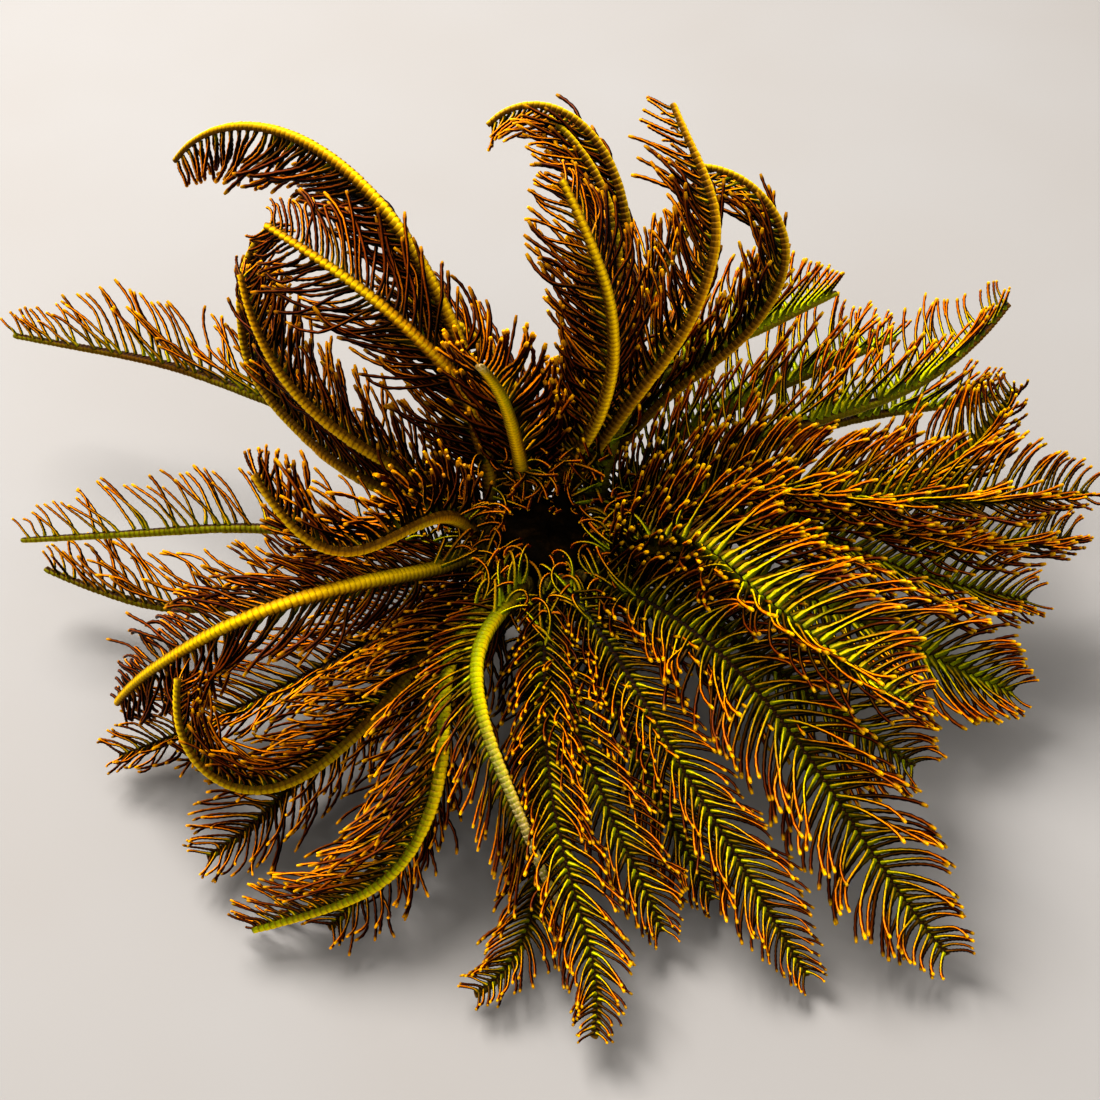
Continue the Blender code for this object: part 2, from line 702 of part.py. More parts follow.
def main():
    """Builds the whole feather star."""
    clear_scene()
    parts = make_collection(OBJECT_NAME)
    materials = {
        "centrodorsal": make_material("centrodorsal_skin", CENTRODORSAL_COLOUR, 0.6),
        "calyx": make_material("cup_skin", CUP_COLOUR, 0.6),
        "tegmen": make_material("disc_skin", DISC_COLOUR, 0.5),
        "rays": make_material("ray_skin", BASE_COLOUR, 0.55),
        "arms": [make_material("arm_skin_%d" % (n + 1), tint, 0.5) for n, tint in enumerate(ARM_COLOURS)],
    }
    rods = Rods()
    radii = arm_radius(np.linspace(0, 1, ARM_STEPS + 1))
    lines = part_ways([centreline(index, arm) for index, arm in enumerate(ARMS)], radii)
    starts = [unit(line[1] - line[0]) for line in lines]
    build_body(parts, materials, rods)
    build_rays(parts, materials, rods, starts)
    build_arms(parts, materials, rods, lines)
    rest_on_origin(parts)
    total = sum(len(item.data.polygons) for item in parts.objects)
    print("%d nodes, %d faces" % (len(parts.objects), total))


main()
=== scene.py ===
"""A golden feather star in a still pose, built at life size around its solids.

A small cup stands on hooked cirri. Five rays leave it and fork into forty arms,
each a chain of short plates that carries a pinnule on alternate sides.
Sizes are in millimetres in the classes and become metres in the meshes.
"""
import logging
import math
import random
from dataclasses import dataclass
from enum import Enum

import bmesh
import bpy
import numpy as np
from mathutils import Matrix, Vector
from mathutils.kdtree import KDTree


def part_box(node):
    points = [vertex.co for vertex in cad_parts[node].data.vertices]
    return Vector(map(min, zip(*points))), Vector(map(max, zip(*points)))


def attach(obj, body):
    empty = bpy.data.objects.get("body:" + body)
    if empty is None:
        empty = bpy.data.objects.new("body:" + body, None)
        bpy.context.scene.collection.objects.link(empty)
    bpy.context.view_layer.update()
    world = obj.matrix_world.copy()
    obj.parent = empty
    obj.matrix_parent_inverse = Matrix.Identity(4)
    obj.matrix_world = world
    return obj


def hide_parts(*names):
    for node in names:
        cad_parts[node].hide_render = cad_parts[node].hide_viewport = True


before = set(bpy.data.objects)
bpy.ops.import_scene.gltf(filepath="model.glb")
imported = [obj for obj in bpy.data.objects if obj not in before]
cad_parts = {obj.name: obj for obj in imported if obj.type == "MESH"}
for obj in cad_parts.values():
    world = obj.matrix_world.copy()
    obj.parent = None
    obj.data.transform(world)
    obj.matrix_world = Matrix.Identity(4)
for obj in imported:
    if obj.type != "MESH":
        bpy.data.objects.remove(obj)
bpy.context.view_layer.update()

MM = 0.001
SEED = 11
LOG = logging.getLogger("feather_star")

Array = np.ndarray
Colour = tuple[float, float, float, float]


class Row(Enum):
    """The two rows of pinnules on an arm."""

    LEFT = -1
    RIGHT = 1


class Slot(Enum):
    """Material slots of the record."""

    CIRRI = "centrodorsal_skin"
    DISC = "disc_skin"
    RAYS = "ray_skin"
    ARMS = "arm_skin_1"


def linear_colour(hex_colour: str) -> Colour:
    """Turns an sRGB hex colour into the linear values that a shader takes.

    Args:
        hex_colour: a colour such as "#C8961E".

    Returns:
        Red, green, blue and alpha, linear.
    """
    channels = []
    for start in (1, 3, 5):
        value = int(hex_colour[start:start + 2], 16) / 255.0
        channels.append(value / 12.92 if value <= 0.04045 else ((value + 0.055) / 1.055) ** 2.4)
    return (channels[0], channels[1], channels[2], 1.0)


def add_node(
    tree: bpy.types.NodeTree,
    kind: str,
    settings: dict | None = None,
    links: dict | None = None,
) -> bpy.types.Node:
    """Adds one node, gives it its settings and links what feeds it.

    Args:
        tree: the tree that takes the node.
        kind: the node's type name.
        settings: properties of the node, or values of its inputs by name or number.
        links: output sockets by the name or number of the input they feed.

    Returns:
        The new node.
    """
    node = tree.nodes.new(kind)
    for name, value in (settings or {}).items():
        if isinstance(name, str) and hasattr(node, name):
            setattr(node, name, value)
        else:
            node.inputs[name].default_value = value
    for name, socket in (links or {}).items():
        tree.links.new(socket, node.inputs[name])
    return node


def add_ramp(
    tree: bpy.types.NodeTree,
    factor: bpy.types.NodeSocket,
    stops: dict[float, str],
) -> bpy.types.NodeSocket:
    """Adds a colour ramp.

    Args:
        tree: the tree that takes the ramp.
        factor: the socket that drives it.
        stops: hex colours by their place from 0 to 1.

    Returns:
        The ramp's colour socket.
    """
    ramp = add_node(tree, "ShaderNodeValToRGB", links={"Fac": factor})
    places = sorted(stops)
    band = ramp.color_ramp
    while len(band.elements) < len(places):
        band.elements.new(0.5)
    for element, place in zip(band.elements, places):
        element.position = place
        element.color = linear_colour(stops[place])
    return ramp.outputs["Color"]


def add_mix(
    tree: bpy.types.NodeTree,
    factor: bpy.types.NodeSocket | float,
    first: bpy.types.NodeSocket,
    second: bpy.types.NodeSocket | str,
    blend: str = "MIX",
) -> bpy.types.NodeSocket:
    """Adds a mix of two colours.

    Args:
        tree: the tree that takes the node.
        factor: share of the second colour, as a socket or a number.
        first: the first colour.
        second: the second colour, as a socket or as #RRGGBB.
        blend: how they are mixed.

    Returns:
        The mixed colour's socket.
    """
    mix = tree.nodes.new("ShaderNodeMix")
    mix.data_type = "RGBA"
    mix.blend_type = blend
    if isinstance(factor, float):
        mix.inputs[0].default_value = factor
    else:
        tree.links.new(factor, mix.inputs[0])
    tree.links.new(first, mix.inputs[6])
    if isinstance(second, str):
        mix.inputs[7].default_value = linear_colour(second)
    else:
        tree.links.new(second, mix.inputs[7])
    return mix.outputs[2]


def add_range(
    tree: bpy.types.NodeTree,
    value: bpy.types.NodeSocket,
    source: tuple[float, float],
    target: tuple[float, float] = (0.0, 1.0),
) -> bpy.types.NodeSocket:
    """Maps a value from one range to another, held at its ends.

    Args:
        tree: the tree that takes the node.
        value: the socket that is mapped.
        source: the range that it comes in.
        target: the range that it goes to.

    Returns:
        The mapped value's socket.
    """
    node = add_node(
        tree, "ShaderNodeMapRange",
        {"From Min": source[0], "From Max": source[1], "To Min": target[0], "To Max": target[1]},
        {"Value": value})
    return node.outputs["Result"]


def read_attribute(tree: bpy.types.NodeTree, name: str) -> bpy.types.NodeSocket:
    """Adds a node that reads a mesh attribute and gives its value's socket."""
    return add_node(tree, "ShaderNodeAttribute", {"attribute_name": name}).outputs["Fac"]


def add_noise(tree: bpy.types.NodeTree, size_mm: float, detail: float = 3.0) -> bpy.types.NodeSocket:
    """Adds noise in the piece's own space.

    Args:
        tree: the tree that takes the nodes.
        size_mm: how wide one patch of the noise is, in millimetres.
        detail: how many finer layers lie over it.

    Returns:
        The noise's value socket.
    """
    place = add_node(tree, "ShaderNodeTexCoord").outputs["Object"]
    noise = add_node(
        tree, "ShaderNodeTexNoise",
        {"Scale": 1.0 / (size_mm * MM), "Detail": detail, "Roughness": 0.55},
        {"Vector": place})
    return noise.outputs["Fac"]


def add_bump(
    tree: bpy.types.NodeTree,
    height: bpy.types.NodeSocket,
    depth_mm: float,
    strength: float,
    under: bpy.types.NodeSocket | None = None,
) -> bpy.types.NodeSocket:
    """Adds relief to the surface.

    Args:
        tree: the tree that takes the node.
        height: the relief, from 0 to 1.
        depth_mm: how deep it is, in millimetres.
        strength: how much of it shows.
        under: a normal that lies beneath it.

    Returns:
        The normal's socket.
    """
    links = {"Height": height}
    if under is not None:
        links["Normal"] = under
    node = add_node(tree, "ShaderNodeBump", {"Distance": depth_mm * MM, "Strength": strength}, links)
    return node.outputs["Normal"]


def start_material(name: str) -> tuple[bpy.types.Material, bpy.types.NodeTree, bpy.types.Node]:
    """Makes a material with its shader.

    Args:
        name: the material's name.

    Returns:
        The material, its tree and its Principled shader.
    """
    material = bpy.data.materials.new(name)
    material.use_nodes = True
    tree = material.node_tree
    return material, tree, tree.nodes["Principled BSDF"]


@dataclass(frozen=True)
class PlateFinish:
    """Skin of the arm plates: gold backs with a painted highlight along their middle, painted shade on
    the flanks, dark joints and a dark groove.

    Each colour is a pair, darker and lighter, that a fine grain runs between.
    """

    gold: tuple[str, str] = ("#B87400", "#E8A600")
    brown_gold: tuple[str, str] = ("#9A6400", "#B87400")
    olive: tuple[str, str] = ("#A8B400", "#D8C400")
    # Colours of the painted highlight along the middle of the back
    ridge: tuple[str, str] = ("#F8BC00", "#FFDC10")
    # Colours of the painted shade on the flanks, plain and on olive arms
    shaded_flank: tuple[str, str] = ("#3A2200", "#6A4600")
    shaded_moss: tuple[str, str] = ("#5A5E00", "#A0A400")
    groove: tuple[str, str] = ("#1A0A03", "#2E180A")
    joint: tuple[str, str] = ("#6A4400", "#7A5212")
    bare: tuple[str, str] = ("#8A6A34", "#C8B48A")
    # Painted shade at the body, partly the pigment's own deepening
    shade_at_body: str = "#2A1E10"

    def grained(
        self,
        tree: bpy.types.NodeTree,
        grain: bpy.types.NodeSocket,
        pair: tuple[str, str],
        edge: float = 0.0,
    ) -> bpy.types.NodeSocket:
        """Runs between the two colours of a pair with the grain, from edge to one minus edge."""
        return add_ramp(tree, grain, {edge: pair[0], 1.0 - edge: pair[1]})

    def build(self) -> bpy.types.Material:
        """Builds the material of the arms.

        Returns:
            The finished material.
        """
        material, tree, shader = start_material("arm_plate_skin")
        back = read_attribute(tree, "back")
        olive = read_attribute(tree, "olive")
        patches = add_noise(tree, 5.0)
        fine = add_noise(tree, 0.35, 2.0)
        # The gold of the back, warmer and lighter in patches along the arm
        gold = self.grained(tree, fine, self.gold, 0.3)
        warm = add_mix(tree, patches, gold, self.grained(tree, fine, self.brown_gold, 0.3))
        skin = add_mix(tree, olive, warm, self.grained(tree, fine, self.olive, 0.3))
        # A painted highlight brightens the middle of the back
        ridge = self.grained(tree, fine, self.ridge)
        skin = add_mix(tree, add_range(tree, back, (0.86, 1.0), (0.0, 0.75)), skin, ridge)
        # Painted shade darkens the flanks towards the groove, mossier on olive arms, and the groove is
        # darkest
        shaded_flank = self.grained(tree, fine, self.shaded_flank)
        mossy = add_range(tree, olive, (0.4, 0.9))
        shaded_flank = add_mix(tree, mossy, shaded_flank, self.grained(tree, fine, self.shaded_moss))
        skin = add_mix(tree, add_range(tree, back, (0.95, 0.3)), skin, shaded_flank)
        dark = self.grained(tree, fine, self.groove)
        skin = add_mix(tree, add_range(tree, back, (-0.45, -0.8)), skin, dark)
        # Narrow brown joints between the plates
        seam = add_range(tree, read_attribute(tree, "seam"), (0.35, 1.0), (0.0, 0.6))
        skin = add_mix(tree, seam, skin, self.grained(tree, fine, self.joint))
        # The broken or worn ends are bare and whitish
        grain = add_range(tree, fine, (0.4, 0.6), (0.3, 1.0))
        worn = add_math(tree, "MULTIPLY", read_attribute(tree, "pale"), grain)
        skin = add_mix(tree, worn, skin, self.grained(tree, fine, self.bare, 0.2))
        # Darker towards the body: painted shade of the crowded centre, and partly the pigment's own
        # deepening
        depth = add_ramp(tree, read_attribute(tree, "place"), {0.0: self.shade_at_body, 0.34: "#FFFFFF"})
        skin = add_mix(tree, 1.0, skin, depth, "MULTIPLY")
        tree.links.new(skin, shader.inputs["Base Color"])
        # Pitted limy plates under a thin wet skin
        tree.links.new(add_range(tree, patches, (0.3, 0.7), (0.34, 0.5)), shader.inputs["Roughness"])
        shader.inputs["IOR"].default_value = 1.4
        shader.inputs["Specular IOR Level"].default_value = 0.05
        tree.links.new(add_bump(tree, fine, 0.05, 0.5), shader.inputs["Normal"])
        return material


@dataclass(frozen=True)
class PinnuleFinish:
    """Skin of the pinnules: dark shafts with a painted highlight line on the side that faces the light,
    and an orange bead at the tip.

    The ramps give the colours from the root, 0, to the tip, 1.
    """

    name: str = "pinnule_skin"
    # Where the painted highlight line lies on the side of each shaft that faces the light
    highlight_band: tuple[float, float] = (0.74, 0.9)
    bead_from: tuple[float, float] = (0.955, 0.99)
    # Painted shade at the body, partly the pigment's own deepening
    shade_at_body: str = "#5A482C"
    pigment: tuple[str, str] = ("#8A6A3A", "#FFFFFF")

    def build(self) -> bpy.types.Material:
        """Builds the material of the pinnules.

        Returns:
            The finished material.
        """
        material, tree, shader = start_material(self.name)
        along = read_attribute(tree, "along")
        green = read_attribute(tree, "green")
        shade = read_attribute(tree, "shade")
        upper = add_range(tree, read_attribute(tree, "upper"), self.highlight_band)
        # Gold arms: dark brown shafts with an orange painted highlight line on the side that faces the
        # light
        red = add_ramp(tree, along, {
            0.0: "#E8A400", 0.12: "#E08000", 0.45: "#FF8A00", 0.72: "#FF8A00", 0.92: "#FFA000"})
        dark_red = add_ramp(tree, along, {
            0.0: "#241600", 0.18: "#0C0400", 0.7: "#180500", 0.92: "#481400"})
        # Green arms: yellow-green roots, dark olive shafts with a yellow painted highlight line on the
        # side that faces the light, and orange ends
        leaf = add_ramp(tree, along, {
            0.0: "#E8F020", 0.16: "#E4EC00", 0.4: "#F0E600",
            0.6: "#FFC600", 0.8: "#FF8200", 0.92: "#FF7C00"})
        dark_leaf = add_ramp(tree, along, {
            0.0: "#A0AC00", 0.1: "#768200", 0.22: "#2C3000",
            0.45: "#161400", 0.7: "#1C0900", 0.92: "#5C1900"})
        warm = add_mix(tree, upper, dark_red, red)
        cool = add_mix(tree, upper, dark_leaf, leaf)
        skin = add_mix(tree, green, warm, cool)
        # Painted shade darkens the lower row of pinnules; the others differ in tone at random
        tone = add_ramp(tree, shade, {0.0: "#5E4A30", 0.3: "#8E7856", 0.6: "#FFFFFF"})
        skin = add_mix(tree, 1.0, skin, tone, "MULTIPLY")
        # Darker towards the body: painted shade of the crowded centre, and partly the pigment's own
        # deepening
        depth = add_ramp(tree, read_attribute(tree, "place"), {0.0: self.shade_at_body, 0.25: "#FFFFFF"})
        skin = add_mix(tree, 1.0, skin, depth, "MULTIPLY")
        # A small bright bead ends each pinnule, dimmer on the lower row under its painted shade and
        # brighter on some than on others
        bead = add_ramp(tree, green, {0.0: "#FFAA00", 0.6: "#FFC400"})
        bright = add_range(tree, shade, (0.0, 0.8), (0.4, 1.0))
        end = add_math(tree, "MULTIPLY", add_range(tree, along, self.bead_from), bright)
        skin = add_mix(tree, end, skin, bead)
        # Fine speckle of pigment
        darker, lighter = self.pigment
        speck = add_ramp(tree, add_noise(tree, 0.3, 2.0), {0.35: darker, 0.65: lighter})
        skin = add_mix(tree, 0.5, skin, speck, "MULTIPLY")
        tree.links.new(skin, shader.inputs["Base Color"])
        tree.links.new(add_range(tree, along, (0.0, 1.0), (0.46, 0.3)), shader.inputs["Roughness"])
        # Under water the skin has hardly any gloss
        shader.inputs["IOR"].default_value = 1.38
        shader.inputs["Specular IOR Level"].default_value = 0.05
        return material


@dataclass(frozen=True)
class FleshFinish:
    """Soft or plated skin of the body, with rings of plates where it is jointed.

    The colours run from the hollows to the high spots of the skin.
    """

    name: str
    hollow: str
    middle: str
    high: str
    ring_mm: float = 0.0
    roughness: float = 0.45
    shine: float = 0.1

    def build(self, centre: Vector) -> bpy.types.Material:
        """Builds the material.

        Args:
            centre: the middle of the body, which the rings of plates run round.

        Returns:
            The finished material.
        """
        material, tree, shader = start_material(self.name)
        patches = add_noise(tree, 2.6)
        fine = add_noise(tree, 0.4, 3.0)
        skin = add_ramp(tree, patches, {0.3: self.hollow, 0.5: self.middle, 0.7: self.high})
        grain = add_ramp(tree, fine, {0.3: "#6E6458", 0.7: "#FFFFFF"})
        skin = add_mix(tree, 0.6, skin, grain, "MULTIPLY")
        normal = add_bump(tree, fine, 0.08, 0.6)
        if self.ring_mm > 0.0:
            place = add_node(tree, "ShaderNodeTexCoord").outputs["Object"]
            centred = add_node(
                tree, "ShaderNodeMapping", {"Location": tuple(-centre)}, {"Vector": place})
            rings = add_node(
                tree, "ShaderNodeTexWave",
                {"wave_type": "RINGS", "rings_direction": "SPHERICAL",
                 "Scale": 0.314 / (self.ring_mm * MM), "Distortion": 0.6,
                 "Detail": 1.0, "Detail Scale": 400.0},
                {"Vector": centred.outputs["Vector"]})
            wave = rings.outputs["Fac"]
            joint = add_ramp(tree, wave, {0.0: "#4A3008", 0.25: "#FFFFFF"})
            skin = add_mix(tree, 0.7, skin, joint, "MULTIPLY")
            normal = add_bump(tree, wave, 0.12, 0.8, normal)
        tree.links.new(skin, shader.inputs["Base Color"])
        tree.links.new(normal, shader.inputs["Normal"])
        spread = (self.roughness - 0.06, self.roughness + 0.08)
        tree.links.new(add_range(tree, patches, (0.3, 0.7), spread), shader.inputs["Roughness"])
        shader.inputs["IOR"].default_value = 1.4
        shader.inputs["Specular IOR Level"].default_value = self.shine
        return material


CIRRUS_SKIN = FleshFinish("cirrus_skin", "#5A3E12", "#8A6A22", "#B08A30")
RAY_PLATE_SKIN = FleshFinish("ray_plate_skin", "#3E3210", "#6E5A1A", "#9A8424", ring_mm=0.75)
DISC_LEATHER = FleshFinish("disc_leather", "#080400", "#100800", "#241604", roughness=0.6, shine=0.02)


@dataclass(frozen=True)
class FloorFinish:
    """Plain pale floor with faint clouds."""

    clouds: tuple[str, str] = ("#86817C", "#888480")
    roughness: float = 0.85

    def build(self) -> bpy.types.Material:
        """Builds the material.

        Returns:
            The finished material.
        """
        material, tree, shader = start_material("pale_floor")
        clouds = add_ramp(tree, add_noise(tree, 60.0, 2.0), {0.3: self.clouds[0], 0.7: self.clouds[1]})
        tree.links.new(clouds, shader.inputs["Base Color"])
        shader.inputs["Roughness"].default_value = self.roughness
        return material


def start_tree(name: str, sockets: dict[str, tuple[str, float | int | None]]) -> bpy.types.NodeTree:
    """Starts a geometry tree with its named inputs.

    Args:
        name: the tree's name.
        sockets: for each input its socket type and its default value.

    Returns:
        The tree, with its geometry sockets in place.
    """
    tree = bpy.data.node_groups.new(name, "GeometryNodeTree")
    tree.interface.new_socket("Geometry", in_out="INPUT", socket_type="NodeSocketGeometry")
    for label, (kind, value) in sockets.items():
        socket = tree.interface.new_socket(label, in_out="INPUT", socket_type=kind)
        if value is not None:
            socket.default_value = value
    tree.interface.new_socket("Geometry", in_out="OUTPUT", socket_type="NodeSocketGeometry")
    return tree


def finish_tree(
    tree: bpy.types.NodeTree,
    shape: bpy.types.NodeSocket,
    skin: bpy.types.NodeSocket,
) -> None:
    """Ends a geometry tree: real faces, smooth, in their material.

    Args:
        tree: the tree that ends.
        shape: the geometry that it has made.
        skin: the socket of the material.
    """
    real = add_node(tree, "GeometryNodeRealizeInstances", links={"Geometry": shape})
    smooth = add_node(tree, "GeometryNodeSetShadeSmooth", links={"Geometry": real.outputs[0]})
    dressed = add_node(
        tree, "GeometryNodeSetMaterial", links={"Geometry": smooth.outputs[0], "Material": skin})
    add_node(tree, "NodeGroupOutput", links={"Geometry": dressed.outputs[0]})


def named_value(tree: bpy.types.NodeTree, name: str, kind: str = "FLOAT") -> bpy.types.NodeSocket:
    """Adds a node that reads a stored value and gives its socket."""
    node = add_node(tree, "GeometryNodeInputNamedAttribute", {"data_type": kind, "Name": name})
    return node.outputs["Attribute"]


def store_value(
    tree: bpy.types.NodeTree,
    shape: bpy.types.NodeSocket,
    name: str,
    kind: str,
    value: bpy.types.NodeSocket,
) -> bpy.types.NodeSocket:
    """Adds a node that stores a value on the points of a shape.

    Args:
        tree: the tree that takes the node.
        shape: the geometry that carries the value.
        name: the name that it is stored under.
        kind: FLOAT or FLOAT_VECTOR.
        value: the value's socket.

    Returns:
        The geometry's socket.
    """
    node = add_node(
        tree, "GeometryNodeStoreNamedAttribute", {"data_type": kind, "domain": "POINT", "Name": name},
        {"Geometry": shape, "Value": value})
    return node.outputs[0]


def add_math(
    tree: bpy.types.NodeTree,
    operation: str,
    first: bpy.types.NodeSocket,
    second: bpy.types.NodeSocket | float = 0.0,
) -> bpy.types.NodeSocket:
    """Adds one sum.

    Args:
        tree: the tree that takes the node.
        operation: what is done with the two values.
        first: the first value.
        second: the second value, as a socket or a number.

    Returns:
        The result's socket.
    """
    node = add_node(tree, "ShaderNodeMath", {"operation": operation}, {0: first})
    if isinstance(second, float):
        node.inputs[1].default_value = second
    else:
        tree.links.new(second, node.inputs[1])
    return node.outputs[0]


def beaded_tube_tree() -> bpy.types.NodeTree:
    """Builds the tree that turns lines with a girth into closed, beaded tubes.

    Returns:
        The tree. Its inputs are Rings, Sides, Beads, Bead depth and Skin.
    """
    tree = start_tree("beaded_tubes", {
        "Rings": ("NodeSocketInt", 18),
        "Sides": ("NodeSocketInt", 5),
        "Beads": ("NodeSocketFloat", 8.5),
        "Bead depth": ("NodeSocketFloat", 0.1),
        "Skin": ("NodeSocketMaterial", None),
    })
    given = add_node(tree, "NodeGroupInput").outputs
    lines = add_node(tree, "GeometryNodeMeshToCurve", links={"Mesh": given["Geometry"]})
    spaced = add_node(
        tree, "GeometryNodeResampleCurve", {"mode": "COUNT"},
        {"Curve": lines.outputs[0], "Count": given["Rings"]})
    tangent = add_node(tree, "GeometryNodeInputTangent").outputs[0]
    even = store_value(tree, spaced.outputs[0], "run", "FLOAT_VECTOR", tangent)
    place = add_node(tree, "GeometryNodeSplineParameter").outputs["Factor"]
    turn = add_math(tree, "MULTIPLY", add_math(tree, "MULTIPLY", place, math.tau), given["Beads"])
    swell = add_math(tree, "MULTIPLY", add_math(tree, "COSINE", turn), given["Bead depth"])
    girth = add_math(tree, "MULTIPLY", named_value(tree, "girth"), add_math(tree, "ADD", swell, 1.0))
    ring = add_node(
        tree, "GeometryNodeCurvePrimitiveCircle", {"Radius": 1.0}, {"Resolution": given["Sides"]})
    around = add_node(tree, "GeometryNodeSplineParameter").outputs["Factor"]
    marked = store_value(tree, ring.outputs[0], "around", "FLOAT", around)
    tubes = add_node(
        tree, "GeometryNodeCurveToMesh", {"Fill Caps": True},
        {"Curve": even, "Profile Curve": marked, "Scale": girth})
    finish_tree(tree, tubes.outputs[0], given["Skin"])
    return tree


def plate_chain_tree() -> bpy.types.NodeTree:
    """Builds the tree that strings plates along the arms.

    Returns:
        The tree. Its inputs are Plate, the shape that is repeated, and Skin.
    """
    tree = start_tree("plate_chain", {
        "Plate": ("NodeSocketObject", None),
        "Skin": ("NodeSocketMaterial", None),
    })
    given = add_node(tree, "NodeGroupInput").outputs
    plate = add_node(tree, "GeometryNodeObjectInfo", links={"Object": given["Plate"]})
    turn = add_node(
        tree, "FunctionNodeAxesToRotation", {"primary_axis": "X", "secondary_axis": "Z"},
        {"Primary Axis": named_value(tree, "ahead", "FLOAT_VECTOR"),
         "Secondary Axis": named_value(tree, "outward", "FLOAT_VECTOR")})
    chain = add_node(
        tree, "GeometryNodeInstanceOnPoints", {},
        {"Points": given["Geometry"], "Instance": plate.outputs["Geometry"], "Rotation": turn.outputs[0],
         "Scale": named_value(tree, "swell", "FLOAT_VECTOR")})
    finish_tree(tree, chain.outputs[0], given["Skin"])
    return tree


def store(mesh: bpy.types.Mesh, name: str, values: Array) -> None:
    """Stores one value or vector for each point of a mesh.

    Args:
        mesh: the mesh that takes the values.
        name: the name that materials and trees read them by.
        values: one number, or three, for each point.
    """
    if values.ndim == 1:
        mesh.attributes.new(name, "FLOAT", "POINT").data.foreach_set("value", values.astype(np.float32))
    else:
        vectors = mesh.attributes.new(name, "FLOAT_VECTOR", "POINT")
        vectors.data.foreach_set("vector", values.astype(np.float32).ravel())


def points_mesh(
    name: str,
    points: Array,
    edges: Array | None,
    values: dict[str, Array],
) -> bpy.types.Mesh:
    """Makes a mesh of loose points or lines with stored values.

    Args:
        name: the mesh's name.
        points: points in metres, one row each.
        edges: pairs of point numbers, or None for loose points.
        values: stored values by name.

    Returns:
        The mesh.
    """
    mesh = bpy.data.meshes.new(name)
    mesh.from_pydata(points.tolist(), [] if edges is None else edges.tolist(), [])
    for label, numbers in values.items():
        store(mesh, label, numbers)
    return mesh


def lines_mesh(name: str, lines: Array, values: dict[str, Array]) -> bpy.types.Mesh:
    """Makes a mesh of many lines of as many points each.

    Args:
        name: the mesh's name.
        lines: an array of lines by points by coordinates, in metres.
        values: stored values by name, one for each line or one for each point of each line.

    Returns:
        The mesh.
    """
    count, size, _ = lines.shape
    first = np.arange(count * size).reshape(count, size)
    edges = np.stack([first[:, :-1].ravel(), first[:, 1:].ravel()], axis=1)
    spread = {}
    for label, numbers in values.items():
        wide = numbers if numbers.ndim == 2 else np.repeat(numbers[:, None], size, axis=1)
        spread[label] = wide.ravel()
    return points_mesh(name, lines.reshape(-1, 3), edges, spread)


def grow(
    mesh: bpy.types.Mesh,
    tree: bpy.types.NodeTree,
    inputs: dict[str, object],
    drop: tuple[str, ...] = (),
) -> bpy.types.Mesh:
    """Runs a geometry tree on a mesh and gives the plain mesh that comes out.

    Args:
        mesh: what the tree starts from. It is taken out afterwards.
        tree: the geometry tree.
        inputs: values of the tree's inputs by name.
        drop: stored values that the result no longer needs.

    Returns:
        The finished mesh.
    """
    holder = bpy.data.objects.new(mesh.name, mesh)
    bpy.context.scene.collection.objects.link(holder)
    modifier = holder.modifiers.new("grow", "NODES")
    modifier.node_group = tree
    keys = {item.name: item.identifier for item in tree.interface.items_tree if item.in_out == "INPUT"}
    for label, value in inputs.items():
        modifier[keys[label]] = value
    graph = bpy.context.evaluated_depsgraph_get()
    grown = bpy.data.meshes.new_from_object(holder.evaluated_get(graph))
    name = mesh.name
    bpy.data.objects.remove(holder, do_unlink=True)
    bpy.data.meshes.remove(mesh)
    grown.name = name
    for label in drop:
        if label in grown.attributes:
            grown.attributes.remove(grown.attributes[label])
    return grown


def show(name: str, mesh: bpy.types.Mesh) -> bpy.types.Object:
    """Puts a finished mesh in the scene under a name, at the origin."""
    piece = bpy.data.objects.new(name, mesh)
    bpy.context.scene.collection.objects.link(piece)
    return piece


def ride_root(piece: bpy.types.Object, nodes: tuple[str, ...] = ()) -> bpy.types.Object:
    """Lets a piece ride on the model and stand for its solids.

    Args:
        piece: the finished piece.
        nodes: solids that it replaces.

    Returns:
        The piece.
    """
    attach(piece, "root")
    if nodes:
        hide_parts(*nodes)
    LOG.info("%s: %d faces", piece.name, len(piece.data.polygons))
    return piece


def direction(heading: Array | float, pitch: Array | float) -> Array:
    """Unit direction from a heading and a pitch in degrees."""
    turn = np.radians(heading)
    rise = np.radians(pitch)
    return np.stack([np.cos(rise) * np.cos(turn), np.cos(rise) * np.sin(turn), np.sin(rise)], axis=-1)


def unit(vectors: Array) -> Array:
    """Vectors at length one, along their last axis."""
    return vectors / np.maximum(np.linalg.norm(vectors, axis=-1, keepdims=True), 1e-9)


def eased(values: Array, places: Array) -> Array:
    """Reads values given at even stations smoothly.

    Args:
        values: one row for each station.
        places: where they are read, from 0 to 1.

    Returns:
        The values at those places.
    """
    v = np.asarray(values, float)
    v = np.concatenate([[2 * v[0] - v[1]], v, [2 * v[-1] - v[-2]]])
    x = np.clip(np.asarray(places, float), 0, 1) * (len(v) - 3)
    i = np.minimum(x.astype(int), len(v) - 4)
    t = x - i
    if v.ndim > 1:
        t = t[:, None]
    a, b, c, d = v[i], v[i + 1], v[i + 2], v[i + 3]
    bend = 2 * a - 5 * b + 4 * c - d + t * (3 * (b - c) + d - a)
    return b + 0.5 * t * (c - a + t * bend)


def ring_point(heading: float, radius: float, height: float) -> Array:
    """A point at a heading in degrees, a distance from the axis and a height."""
    turn = math.radians(heading)
    return np.array([radius * math.cos(turn), radius * math.sin(turn), height])


